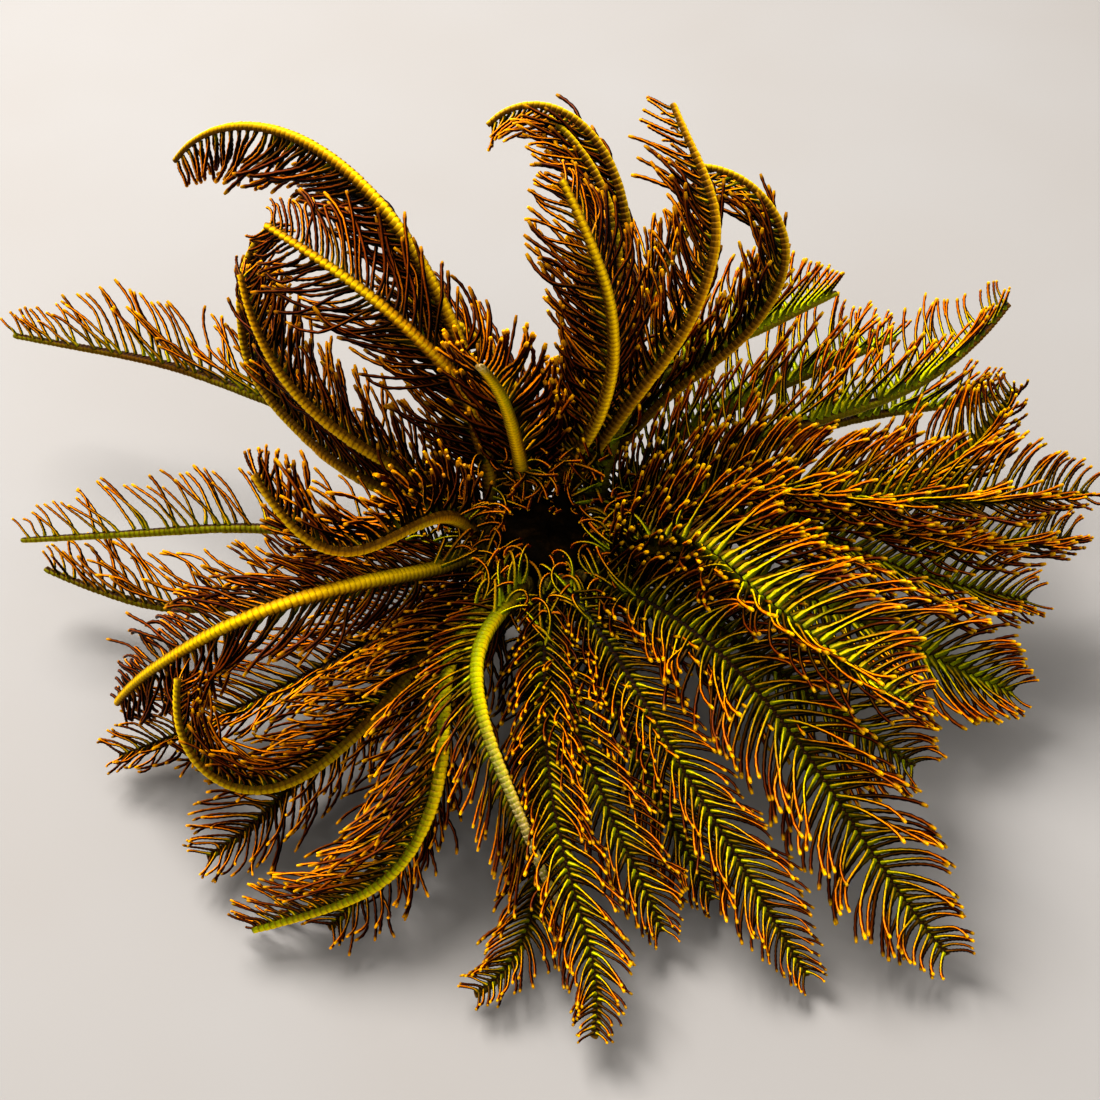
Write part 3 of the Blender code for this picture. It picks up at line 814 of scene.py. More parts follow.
@dataclass(frozen=True)
class ArmPose:
    """How one arm lies and what it looks like.

    Heading and pitch are given in degrees at even stations from root to tip.
    The groove is the heading and pitch of the grooved side at the root, and
    fold is how far the pinnules bend towards it. Olive and green run from 0,
    gold back and red-brown pinnules, to 1, green back and yellow-green pinnules.
    Lean is how far the pinnules lean ahead, reach how long they are against the
    others, and up to full_until every plate has a pinnule on both its sides.
    Stout is how thick the shafts of the pinnules are, tooth how thick their
    roots, and share how many of them there are.
    """

    length: float
    heading: tuple[float, ...]
    pitch: tuple[float, ...]
    groove: tuple[float, float] = (270, 60)
    fold: float = 35.0
    olive: float = 0.4
    green: float = 0.3
    bare_from: float = 1.0
    pale_end: bool = False
    lean: float = 0.8
    reach: float = 1.0
    full_until: float = 0.65
    share: float = 1.0
    tooth: float = 1.0
    stout: float = 1.45


# What the pinnules have in common on the arms of one part of the animal
LOW_RIGHT = {"full_until": 1.0, "reach": 1.05, "lean": 0.45, "stout": 1.15}
FAR_RIGHT = {"full_until": 0.0, "reach": 1.05, "lean": 0.3, "stout": 1.2, "share": 0.85, "tooth": 1.5}
RAISED_BACK = {"full_until": 0.8, "stout": 1.2}
RAISED_LEFT = {"full_until": 1.0, "stout": 1.2}
LOW_LEFT = {"full_until": 1.0, "stout": 1.0}
FRONT = {"full_until": 1.0, "reach": 0.78, "lean": 0.9, "stout": 1.0}
FRONT_RIGHT = {"full_until": 1.0, "reach": 1.1, "lean": 0.5, "stout": 1.25}

ARM_POSES: tuple[ArmPose, ...] = (
    # Ray 1
    ArmPose(
        69, (375, 370, 350, 355, 360, 365), (15, 5, -10, -25, -20, -20), (300, 70), 45,
        olive=0.5, green=0.6, **LOW_RIGHT),
    ArmPose(
        75, (390, 380, 355, 355, 370, 375), (15, 10, -5, -15, -10, -5), (270, 85), 50,
        olive=0.5, green=0.5, **LOW_RIGHT),
    ArmPose(
        74, (20, 10, -10, 0, 5, 5), (20, 15, 0, -5, 0, 0), (270, 85), 50,
        olive=0.5, green=0.5, **LOW_RIGHT),
    ArmPose(
        71, (20, 15, 0, 20, 30, 50), (20, 15, -5, 0, 20, 60), (180, 80), 50,
        olive=0.4, green=0.5, tooth=1.5, **LOW_RIGHT),
    ArmPose(
        82, (25, 30, 30, 30, 40, 45), (15, 10, -5, -5, 5, 30), (120, 70), 50,
        olive=0.5, green=0.75, **FAR_RIGHT),
    ArmPose(
        75, (35, 35, 35, 25, 15, 15), (10, 5, -5, -5, -5, 0), (120, 80), 55,
        olive=0.5, green=0.85, **FAR_RIGHT),
    ArmPose(
        58, (85, 60, 35, 30, 35, 35), (50, 40, 15, 0, 0, 0), (130, 60), 50,
        olive=0.6, green=0.95, **FAR_RIGHT),
    ArmPose(
        64, (40, 40, 35, 35, 35, 30), (30, 25, 0, -5, -5, 0), (140, 70), 50,
        olive=0.6, green=0.95, **FAR_RIGHT),
    # Ray 2
    ArmPose(
        71, (55, 40, 10, 25, 140, 180), (25, 30, 40, 60, 50, 5), (150, 30), 35,
        olive=0.35, green=0.3, **RAISED_BACK),
    ArmPose(
        51, (65, 65, 70, 75, 60, 45), (30, 30, 30, 30, 30, 25), (180, 30), 45,
        olive=0.5, green=0.25, **RAISED_BACK),
    ArmPose(
        70, (10, 10, 20, 55, 115, 105), (60, 60, 55, 60, 40, 10), (150, -20), 35,
        olive=0.15, green=0.15, **RAISED_BACK),
    ArmPose(
        79, (35, 45, 75, 105, 150, 195), (60, 60, 60, 55, 30, -45), (160, 0), 35,
        olive=0.35, green=0.15, **RAISED_BACK),
    ArmPose(
        63, (-25, -20, -10, -145, -200, -220), (60, 65, 80, 85, 70, 55), (130, -20),
        olive=0.3, green=0.1, **RAISED_BACK),
    ArmPose(
        68, (15, 20, 55, 85, 125, 140), (65, 65, 60, 60, 45, 15), (160, -10), 35,
        olive=0.35, green=0.1, **RAISED_BACK),
    ArmPose(
        49, (265, 265, 255, 255, 250, 245), (65, 65, 70, 65, 60, 55), (90, 0), 30,
        olive=0.4, green=0.1, pale_end=True),
    ArmPose(
        47, (75, 75, 130, 170, 180, 195), (45, 45, 50, 50, 35, 30), (150, -30),
        olive=0.3, green=0.1, **RAISED_BACK),
    # Ray 3
    ArmPose(
        96, (140, 140, 140, 140, 150, 160), (80, 70, 55, 20, -15, -55), (140, 0), 82,
        olive=0.15, green=0.05, full_until=0.75),
    ArmPose(
        57, (180, 180, 165, 150, 135, 105), (40, 40, 30, 35, 55, 60), (80, 20), 35,
        olive=0.2, green=0.1, **RAISED_LEFT),
    ArmPose(
        61, (85, 125, 180, 165, 155, 150), (80, 75, 60, 45, 25, 15), (110, -20), 35,
        olive=0.1, green=0.05, reach=1.2, lean=0.6, **RAISED_LEFT),
    ArmPose(
        93, (150, 145, 145, 150, 160, 165), (25, 15, -5, -5, -5, 0), (100, 80), 60,
        olive=0.45, green=0.3, full_until=0.0, lean=0.6, stout=1.2, share=0.8),
    ArmPose(
        71, (165, 155, 135, 135, 85, 35), (5, 5, 5, 35, 65, 25), (70, 20), 35,
        olive=0.3, green=0.15, **RAISED_LEFT),
    ArmPose(
        72, (190, 180, 170, 175, 175, 175), (25, 10, -5, -10, -10, -10), (90, 65), 65,
        olive=0.7, green=0.3, full_until=0.0, reach=0.8, lean=0.45, stout=1.05, share=0.6),
    ArmPose(
        52, (235, 240, 235, 215, 155, 140), (65, 50, 25, 10, 35, 55), (120, 30), 35,
        olive=0.2, green=0.05, **RAISED_LEFT),
    ArmPose(
        71, (180, 180, 175, 175, 160, 165), (-15, -15, -15, -10, 0, 20), (90, 70), 60,
        olive=0.5, green=0.1, full_until=0.5, lean=0.6, stout=1.1, share=0.75),
    # Ray 4
    ArmPose(
        79, (225, 225, 210, 180, 160, 145), (15, 30, 10, -35, -50, -60), (90, -47), 20,
        olive=0.35, green=0.1, **RAISED_LEFT),
    ArmPose(
        60, (195, 195, 200, 205, 205, 200), (-30, -25, -20, -10, -5, -5), (250, 75),
        olive=0.5, green=0.15, **LOW_LEFT),
    ArmPose(
        72, (235, 235, 225, 205, 150, 60), (-15, -15, -20, -10, 40, 70), (135, 20), 35,
        olive=0.4, green=0.1, **LOW_LEFT),
    ArmPose(
        57, (210, 210, 220, 230, 230, 215), (-30, -30, -20, -10, -5, -5),
        olive=0.4, green=0.15, reach=1.1, **LOW_LEFT),
    ArmPose(
        74, (245, 250, 270, 235, 195, 190), (10, 5, -25, -45, -20, -10), (150, -30),
        olive=0.7, green=0.3, reach=1.1, **LOW_LEFT),
    ArmPose(
        54, (235, 235, 245, 250, 240, 225), (-30, -30, -20, -15, -10, -10),
        olive=0.4, green=0.2, reach=1.1, **LOW_LEFT),
    ArmPose(
        61, (245, 250, 280, 300, 300, 320), (15, 10, -20, -40, -40, -30), (150, -40),
        olive=0.9, green=0.5, bare_from=0.78, **FRONT),
    ArmPose(
        59, (270, 270, 275, 270, 250, 215), (-20, -20, -25, -20, -10, 0),
        olive=0.5, green=0.4, **FRONT),
    # Ray 5
    ArmPose(
        67, (270, 270, 275, 285, 285, 260), (-15, -15, -20, -25, -20, -5),
        olive=0.5, green=0.45, **FRONT),
    ArmPose(
        51, (275, 275, 290, 295, 300, 295), (5, 0, -20, -30, -30, -35),
        olive=0.5, green=0.45, **FRONT),
    ArmPose(
        67, (300, 300, 300, 305, 305, 305), (-5, -10, -20, -25, -30, -25),
        olive=0.5, green=0.45, **FRONT),
    ArmPose(
        48, (285, 285, 295, 300, 305, 300), (0, -5, -20, -30, -35, -30),
        olive=0.5, green=0.45, **FRONT),
    ArmPose(
        78, (330, 315, 315, 310, 310, 310), (10, 5, -20, -30, -30, -20),
        olive=0.5, green=0.5, **FRONT_RIGHT),
    ArmPose(
        56, (335, 335, 320, 335, 345, 340), (20, 15, -10, -25, -35, -30),
        olive=0.5, green=0.5, **FRONT_RIGHT),
    ArmPose(
        57, (360, 335, 305, 320, 325, 350), (40, 30, 5, -10, -20, -20), (40, 65),
        olive=0.55, green=0.55, tooth=1.5, **FRONT_RIGHT | {"lean": 0.35}),
    ArmPose(
        67, (365, 355, 335, 350, 355, 360), (20, 10, -10, -25, -30, -30), (300, 65),
        olive=0.55, green=0.6, tooth=1.5, **FRONT_RIGHT),
)


@dataclass
class ArmLine:
    """One arm's fine centreline, with its directions at each plate."""

    pose: ArmPose
    points: Array
    ahead: Array
    groove: Array
    across: Array
    radii: Array
    places: Array


@dataclass
class ArmLayout:
    """Lays the forty arms out from their seats so that none runs through another."""

    rays: int = 5
    arms_per_ray: int = 8
    first_seat: float = 342.0
    seat_step: float = 9.0
    upper_seat: tuple[float, float] = (10.5, 26.0)
    lower_seat: tuple[float, float] = (12.5, 20.5)
    gap: float = 0.3
    steps: int = 28
    root_radius: float = 1.15
    tip_radius: float = 0.55
    taper: float = 1.6
    between: float = 0.5
    held: int = 3
    eased_over: float = 4.0
    rounds: int = 60
    push_share: float = 0.75
    plate_mm: float = 0.9
    finer_if_green_mm: float = 0.2

    def seat(self, index: int) -> Array:
        """Where an arm leaves its ray."""
        radius, height = self.upper_seat if index % 2 == 0 else self.lower_seat
        return ring_point(self.first_seat + self.seat_step * index, radius, height)

    def radius(self, places: Array) -> Array:
        """Radius of an arm at places from its root, 0, to its tip, 1."""
        return self.root_radius + (self.tip_radius - self.root_radius) * places ** self.taper

    def knots(self, index: int, pose: ArmPose) -> Array:
        """Points along one arm from its seat to its tip, before arms part ways."""
        places = (np.arange(self.steps) + 0.5) / self.steps
        run = direction(eased(pose.heading, places), eased(pose.pitch, places))
        start = self.seat(index) + run[0] * self.gap
        return np.vstack([start, start + np.cumsum(run, axis=0) * pose.length / self.steps])

    def part_ways(self, lines: list[Array]) -> Array:
        """Pushes arms that come too close to each other apart, roots held.

        Args:
            lines: the points of each arm.

        Returns:
            All arms' points in one array.
        """
        points = np.stack(lines)
        count, size, _ = points.shape
        reach = np.tile(self.radius(np.linspace(0, 1, size)), count)
        owner = np.repeat(np.arange(count), size)
        other = owner[:, None] != owner[None]
        need = reach[:, None] + reach[None] + self.between
        loose = np.clip((np.arange(size) - self.held) / self.eased_over, 0, 1)[None, :, None]
        for _ in range(self.rounds):
            flat = points.reshape(-1, 3)
            apart = flat[:, None] - flat[None]
            distance = np.linalg.norm(apart, axis=2)
            close = (distance < need) & other
            if not close.any():
                break
            share = np.where(close, (need - distance) / np.maximum(distance, 1e-6), 0)
            push = (share[..., None] * apart).sum(1) / np.maximum(close.sum(1), 1)[:, None]
            move = self.push_share * push.reshape(count, size, 3) * loose
            for _ in range(2):
                move[:, 1:-1] = (move[:, :-2] + 2 * move[:, 1:-1] + move[:, 2:]) / 4
                move = move * loose
            points = points + move
        return points

    def frames(self, points: Array, groove: tuple[float, float]) -> tuple[Array, Array, Array]:
        """Finds the directions along one arm.

        Args:
            points: the arm's points.
            groove: heading and pitch of its grooved side at the root.

        Returns:
            The directions ahead, to the groove and across.
        """
        ahead = unit(np.gradient(points, axis=0))
        facing = direction(*groove)
        grooves = []
        for way in ahead:
            facing = unit(facing - way * (facing @ way))
            grooves.append(facing)
        sides = np.stack(grooves)
        return ahead, sides, np.cross(ahead, sides)

    def build(self) -> list[ArmLine]:
        """Lays out all arms.

        Returns:
            Their fine centrelines, in millimetres from the body's axis.
        """
        rough = self.part_ways([self.knots(index, pose) for index, pose in enumerate(ARM_POSES)])
        lines = []
        for index, pose in enumerate(ARM_POSES):
            plate = self.plate_mm - self.finer_if_green_mm * pose.green
            count = round(pose.length / plate)
            places = (np.arange(count) + 0.5) / count
            points = eased(rough[index], places)
            ahead, groove, across = self.frames(points, pose.groove)
            lines.append(ArmLine(pose, points, ahead, groove, across, self.radius(places), places))
        return lines


@dataclass
class ArmPlates:
    """The chains of plates that make the arms, one piece for each ray."""

    layout: ArmLayout
    finish: PlateFinish
    sides: int = 12
    tilt: float = 0.3
    width_spread: float = 0.025
    patches: int = 11
    patch_spread: float = 0.1
    worn_before: float = 0.35
    worn_over: float = 0.4
    stump_from: tuple[float, float] = (0.94, 0.08)
    groove_depth: float = 0.42
    rings: tuple[tuple[float, float, float], ...] = (
        (-0.6, 0.94, 1.0), (-0.25, 1.0, 0.2), (0.25, 1.02, 0.0), (0.6, 0.95, 1.0))

    def plate(self) -> bpy.types.Object:
        """Makes one plate: a short barrel with a round back, a lip ahead and a groove below.

        Returns:
            The plate, one unit in radius and in length.
        """
        shape = bmesh.new()
        rings = []
        for along, radius, _ in self.rings:
            ring = []
            for step in range(self.sides):
                angle = math.tau * step / self.sides
                low = max(0.0, -math.cos(angle) - 0.55) / 0.45
                reach = radius * (1.0 - self.groove_depth * low)
                place = (along, reach * math.sin(angle), reach * math.cos(angle) * 0.95)
                ring.append(shape.verts.new(place))
            rings.append(ring)
        for ring, above in zip(rings, rings[1:]):
            for step in range(self.sides):
                after = (step + 1) % self.sides
                shape.faces.new((ring[step], ring[after], above[after], above[step]))
        shape.faces.new(rings[0])
        shape.faces.new(rings[-1])
        bmesh.ops.recalc_face_normals(shape, faces=shape.faces)
        mesh = bpy.data.meshes.new("plate")
        shape.to_mesh(mesh)
        shape.free()
        # The back value, one on the back and minus one in the groove, places the painted highlight and
        # the painted shade of the flanks
        turns = np.tile(np.cos(math.tau * np.arange(self.sides) / self.sides), len(self.rings))
        store(mesh, "back", turns)
        store(mesh, "seam", np.repeat([seam for _, _, seam in self.rings], self.sides))
        return bpy.data.objects.new("plate", mesh)

    def rows(self, line: ArmLine, draw: np.random.Generator) -> dict[str, Array]:
        """Lays out the plates of one arm.

        Args:
            line: the arm's centreline.
            draw: the source of small differences.

        Returns:
            Where each plate lies, how it is turned and stretched, and its colours.
        """
        pose = line.pose
        count = len(line.points)
        width = line.radii * (1.0 + draw.normal(0.0, self.width_spread, count))
        step = np.full(count, pose.length / count)
        patches = np.linspace(0.0, 1.0, self.patches)
        drift = np.interp(line.places, patches, draw.normal(0.0, self.patch_spread, self.patches))
        worn = pose.bare_from < 1 or pose.pale_end
        start, over = pose.bare_from - self.worn_before, self.worn_over
        if pose.pale_end:
            start, over = self.stump_from
        return {
            "points": line.points,
            "ahead": unit(line.ahead + line.across * self.tilt),
            "outward": -line.groove,
            "swell": np.stack([step, width, width], axis=1),
            "olive": np.clip(pose.olive + drift, 0, 1),
            "pale": np.clip((line.places - start) / over, 0, 1) * worn,
            "place": line.places,
        }

    def build(self, lines: list[ArmLine], centre: Vector) -> list[bpy.types.Object]:
        """Builds the arms of every ray.

        Args:
            lines: the arms' centrelines.
            centre: the body's axis on the floor, in metres.

        Returns:
            One piece for each ray.
        """
        material = self.finish.build()
        tree = plate_chain_tree()
        plate = self.plate()
        draw = np.random.default_rng(SEED)
        size = self.layout.arms_per_ray
        pieces = []
        for ray in range(self.layout.rays):
            parts = [self.rows(line, draw) for line in lines[ray * size:(ray + 1) * size]]
            joined = {label: np.concatenate([part[label] for part in parts]) for label in parts[0]}
            points = joined.pop("points") * MM + np.array(centre)
            joined["swell"] = joined["swell"] * MM
            name = "arms_of_ray_%d" % (ray + 1)
            mesh = points_mesh(name, points, None, joined)
            grown = grow(mesh, tree, {"Plate": plate, "Skin": material}, ("ahead", "outward", "swell"))
            piece = show(name, grown)
            owned = tuple(
                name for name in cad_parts
                if name.startswith("arm_") and ray * size < int(name[4:6]) <= (ray + 1) * size)
            pieces.append(ride_root(piece, owned))
        bpy.data.objects.remove(plate, do_unlink=True)
        bpy.data.node_groups.remove(tree)
        return pieces


@dataclass
class PinnuleCoat:
    """Both rows of pinnules on every arm, two pieces for each ray.

    Shares of the groove's and the arm's own direction say where a pinnule bends,
    and spreads say how much one pinnule differs from the next.
    """

    layout: ArmLayout
    finish: PinnuleFinish
    length: float = 10.8
    length_spread: float = 0.05
    full_after: tuple[float, float] = (0.72, 1.5)
    full_before_tip: tuple[float, float] = (0.32, 2.8)
    bare_plates: int = 2
    root_share: float = 0.14
    second_fold: float = -28.0
    fold_spread: float = 6.0
    lean_spread: float = 0.1
    calm: tuple[float, float, float] = (1.1, 1.3, 0.25)
    root_out: float = 0.45
    root_in: float = 0.62
    lift: float = 0.055
    lift_over: float = 0.08
    curl_in: float = 0.55
    curl_ahead: float = 0.75
    curl_spread: float = 0.2
    sway: float = 0.022
    hook_from: float = 0.76
    hook_in: float = 0.06
    hook_ahead: float = 0.09
    hook_spread: float = 0.07
    floor: float = 0.45
    clear_of_arms: float = 0.3
    widest_arm: float = 1.6
    rings: int = 18
    sides: int = 6
    bead_depth: float = 0.13
    stations: tuple[float, ...] = (0.0, 0.06, 0.12, 0.18, 0.3, 0.45, 0.6, 0.75, 0.9, 0.96, 1.0)
    girths: tuple[float, ...] = (0.33, 0.34, 0.29, 0.255, 0.24, 0.235, 0.23, 0.23, 0.225, 0.24, 0.205)
    girth_spread: float = 0.06
    green_spread: float = 0.12
    # The lower of two pinnules gets low shades, which its material paints as shade
    shades_below: tuple[float, float] = (0.0, 0.35)
    shades_above: tuple[float, float] = (0.35, 1.0)
    patch: float = 0.003
    tufts: int = 26
    tuft_spread: tuple[float, float] = (8.0, 0.16)
    light_side: tuple[float, float, float] = (-0.4, -0.25, 0.88)

    def bearers(self, line: ArmLine, draw: np.random.Generator) -> tuple[Array, Array, Array]:
        """Picks the plates of one arm that carry pinnules.

        Args:
            line: the arm's centreline.
            draw: the source of small differences.

        Returns:
            For each pinnule its plate, its side and whether it is the lower of two.
        """
        pose = line.pose
        count = len(line.points)
        covered = (line.places < pose.bare_from) & (np.arange(count) >= self.bare_plates)
        plates = np.flatnonzero(covered)
        plates = plates[draw.random(len(plates)) <= pose.share]
        side = np.where(plates % 2, Row.RIGHT.value, Row.LEFT.value)
        # The second pinnule of a plate is on its other side and lies lower
        second = line.places[plates] < pose.full_until
        lower = np.concatenate([np.zeros(len(plates), bool), np.ones(second.sum(), bool)])
        side = np.concatenate([side, -side[second]])
        return np.concatenate([plates, plates[second]]), side, lower

    def stance(
        self,
        pose: ArmPose,
        place: Array,
        lower: Array,
        draw: np.random.Generator,
    ) -> tuple[Array, Array]:
        """Finds how each pinnule stands. Neighbours lean together in small tufts.

        Args:
            pose: the arm's pose.
            place: each pinnule's place along the arm.
            lower: whether it is the lower one of its plate.
            draw: the source of small differences.

        Returns:
            How far each folds to the groove, in radians, and how far it leans ahead.
        """
        tufts = np.linspace(0.0, 1.0, self.tufts)
        fold_drift, lean_drift = (
            np.interp(place, tufts, draw.normal(0.0, spread, self.tufts))
            for spread in self.tuft_spread)
        number = len(place)
        below = np.where(lower, self.second_fold, 0.0)
        fold = pose.fold + fold_drift + below + draw.normal(0.0, self.fold_spread, number)
        lean = pose.lean + lean_drift + draw.normal(0.0, self.lean_spread, number)
        return np.radians(fold)[:, None], lean[:, None]

    def fullness(self, place: Array) -> Array:
        """Length of the pinnules as a share: shorter at the arm's root, shortest at its tip."""
        near_root = self.full_after[0] + self.full_after[1] * place
        near_tip = self.full_before_tip[0] + self.full_before_tip[1] * (1 - place)
        return np.minimum(np.minimum(1.0, near_root), near_tip)

    def lines(self, index: int, line: ArmLine, draw: np.random.Generator) -> dict[str, Array]:
        """Draws the pinnules of one arm.

        Args:
            index: the arm's number.
            line: its centreline.
            draw: the source of small differences.

        Returns:
            The lines in millimetres, and what is stored with them.
        """
        pose = line.pose
        plates, side, lower = self.bearers(line, draw)
        number = len(plates)
        place = line.places[plates]
        ahead = line.ahead[plates]
        groove = line.groove[plates]
        across = line.across[plates] * side[:, None]
        fold, lean = self.stance(pose, place, lower, draw)
        # The pinnules of green arms stand in better order
        most, drop, least = self.calm
        calm = float(np.clip(most - drop * pose.green, least, 1.0))
        out = unit(across * np.cos(fold) + groove * np.sin(fold) + ahead * lean)
        stray = draw.normal(0.0, self.curl_spread * calm, (number, 3))
        curl = unit(out + groove * self.curl_in + ahead * self.curl_ahead + stray)
        full = self.fullness(place)
        length = self.length * pose.reach * full * (1 + draw.normal(0.0, self.length_spread, number))
        length = length[:, None, None]
        offset = across * self.root_out + groove * self.root_in
        root = line.points[plates] + offset * line.radii[plates][:, None]
        t = np.array(self.stations)[None, :, None]
        paths = out[:, None] * (t - 0.5 * t ** 2) + curl[:, None] * 0.5 * t ** 2
        # The root rises from the groove's margin before the shaft leans out
        paths = paths + groove[:, None] * self.lift * (1 - np.exp(-t / self.lift_over))
        # Each shaft sways a little and its end curls over
        paths = paths + draw.normal(0.0, self.sway * calm, (number, 1, 3)) * np.sin(2 * np.pi * t)
        hook = np.clip((t - self.hook_from) / (1 - self.hook_from), 0, 1) ** 2
        over = (groove * self.hook_in + ahead * self.hook_ahead)[:, None]
        bend = draw.normal(0.0, self.hook_spread * calm, (number, 1, 3)) + over
        paths = root[:, None] + length * (paths + bend * hook)
        stout = np.where(np.array(self.stations) < self.root_share, pose.tooth, pose.stout)
        thick = np.array(self.girths)[None] * (0.75 + 0.25 * full[:, None]) * stout
        return {
            "paths": paths,
            "girth": thick * (1 + draw.normal(0.0, self.girth_spread, (number, 1))),
            "green": np.clip(pose.green + draw.normal(0.0, self.green_spread, number), 0, 1),
            # Lower pinnules get low shades, painted as shade by their material
            "shade": np.where(
                lower,
                draw.uniform(*self.shades_below, number),
                draw.uniform(*self.shades_above, number)),
            "place": place,
            "root_u": 0.02 + 0.96 * place,
            "root_v": (index + 0.5 + 0.22 * side) / len(ARM_POSES),
            "owner": np.full(number, index),
        }

    def keep_clear(self, paths: Array, owner: Array, lines: list[ArmLine]) -> Array:
        """Bends pinnules clear of other arms and of the floor.

        Args:
            paths: the pinnules' points, in millimetres.
            owner: the number of each pinnule's own arm.
            lines: all arms' centrelines.

        Returns:
            The paths after bending.
        """
        tree = KDTree(sum(len(line.points) for line in lines))
        numbers = []
        radii = []
        for index, line in enumerate(lines):
            for point, radius in zip(line.points, line.radii):
                tree.insert(Vector(point), len(numbers))
                numbers.append(index)
                radii.append(radius)
        tree.balance()
        stations = np.array(self.stations)
        for row, path in enumerate(paths):
            for step in range(3, len(stations)):
                for near, found, distance in tree.find_range(Vector(path[step]), self.widest_arm):
                    need = radii[found] + self.clear_of_arms
                    if numbers[found] == owner[row] or distance >= need:
                        continue
                    away = path[step] - np.array(near)
                    push = away / max(distance, 0.05) * (need - distance)
                    share = np.clip(stations / stations[step], 0, 1) ** 1.5
                    path += push * share[:, None]
        low = self.floor - paths[:, :, 2]
        paths[:, :, 2] += np.maximum(low, 0)
        return paths

    def face_light(self, mesh: bpy.types.Mesh) -> None:
        """Stores how far each point of the pinnules faces the light side of its own shaft.

        Args:
            mesh: the grown pinnules, with the direction of their shafts stored.
        """
        count = len(mesh.vertices)
        normals = np.zeros(count * 3, np.float32)
        mesh.vertex_normals.foreach_get("vector", normals)
        run = np.zeros(count * 3, np.float32)
        mesh.attributes["run"].data.foreach_get("vector", run)
        mesh.attributes.remove(mesh.attributes["run"])
        run = unit(run.reshape(-1, 3))
        side = np.array(self.light_side)
        side = unit(side - run * (run @ side)[:, None])
        store(mesh, "upper", (normals.reshape(-1, 3) * side).sum(1))

    def bake_map(self, mesh: bpy.types.Mesh) -> None:
        """Gives each pinnule a small patch at its root's place on the unrolled arms.

        Args:
            mesh: the grown pinnules, with their roots' places stored.
        """
        count = len(mesh.vertices)
        values = {}
        for label in ("root_u", "root_v", "along", "around"):
            numbers = np.zeros(count, np.float32)
            mesh.attributes[label].data.foreach_get("value", numbers)
            values[label] = numbers
        across = np.abs(2 * values["around"] - 1) - 0.5
        place = np.stack([
            values["root_u"] + self.patch * (values["along"] - 0.5),
            values["root_v"] + self.patch * across,
        ], axis=1)
        corners = np.zeros(len(mesh.loops), np.int32)
        mesh.loops.foreach_get("vertex_index", corners)
        layer = mesh.uv_layers.new(name="OFBake")
        layer.uv.foreach_set("vector", place[corners].astype(np.float32).ravel())
        for label in ("root_u", "root_v", "around"):
            mesh.attributes.remove(mesh.attributes[label])

    def build(self, lines: list[ArmLine], centre: Vector) -> list[bpy.types.Object]:
        """Builds the pinnules of every ray.

        Args:
            lines: the arms' centrelines.
            centre: the body's axis on the floor, in metres.

        Returns:
            Two pieces for each ray.
        """
        material = self.finish.build()
        tree = beaded_tube_tree()
        draw = np.random.default_rng(SEED)
        size = self.layout.arms_per_ray
        pieces = []
        for ray in range(self.layout.rays):
            parts = [
                self.lines(index, lines[index], draw) for index in range(ray * size, (ray + 1) * size)]
            for half, group in enumerate((parts[:size // 2], parts[size // 2:])):
                joined = {label: np.concatenate([part[label] for part in group]) for label in group[0]}
                paths = self.keep_clear(joined.pop("paths"), joined.pop("owner"), lines)
                joined["girth"] = joined["girth"] * MM
                joined["along"] = np.tile(np.array(self.stations), (len(paths), 1))
                name = "pinnules_of_ray_%d_%s" % (ray + 1, "ab"[half])
                mesh = lines_mesh(name, paths * MM + np.array(centre), joined)
                inputs = {
                    "Rings": self.rings, "Sides": self.sides, "Beads": (self.rings - 1) / 2,
                    "Bead depth": self.bead_depth, "Skin": material}
                grown = grow(mesh, tree, inputs, ("girth",))
                self.bake_map(grown)
                self.face_light(grown)
                pieces.append(ride_root(show(name, grown)))
        bpy.data.node_groups.remove(tree)
        return pieces


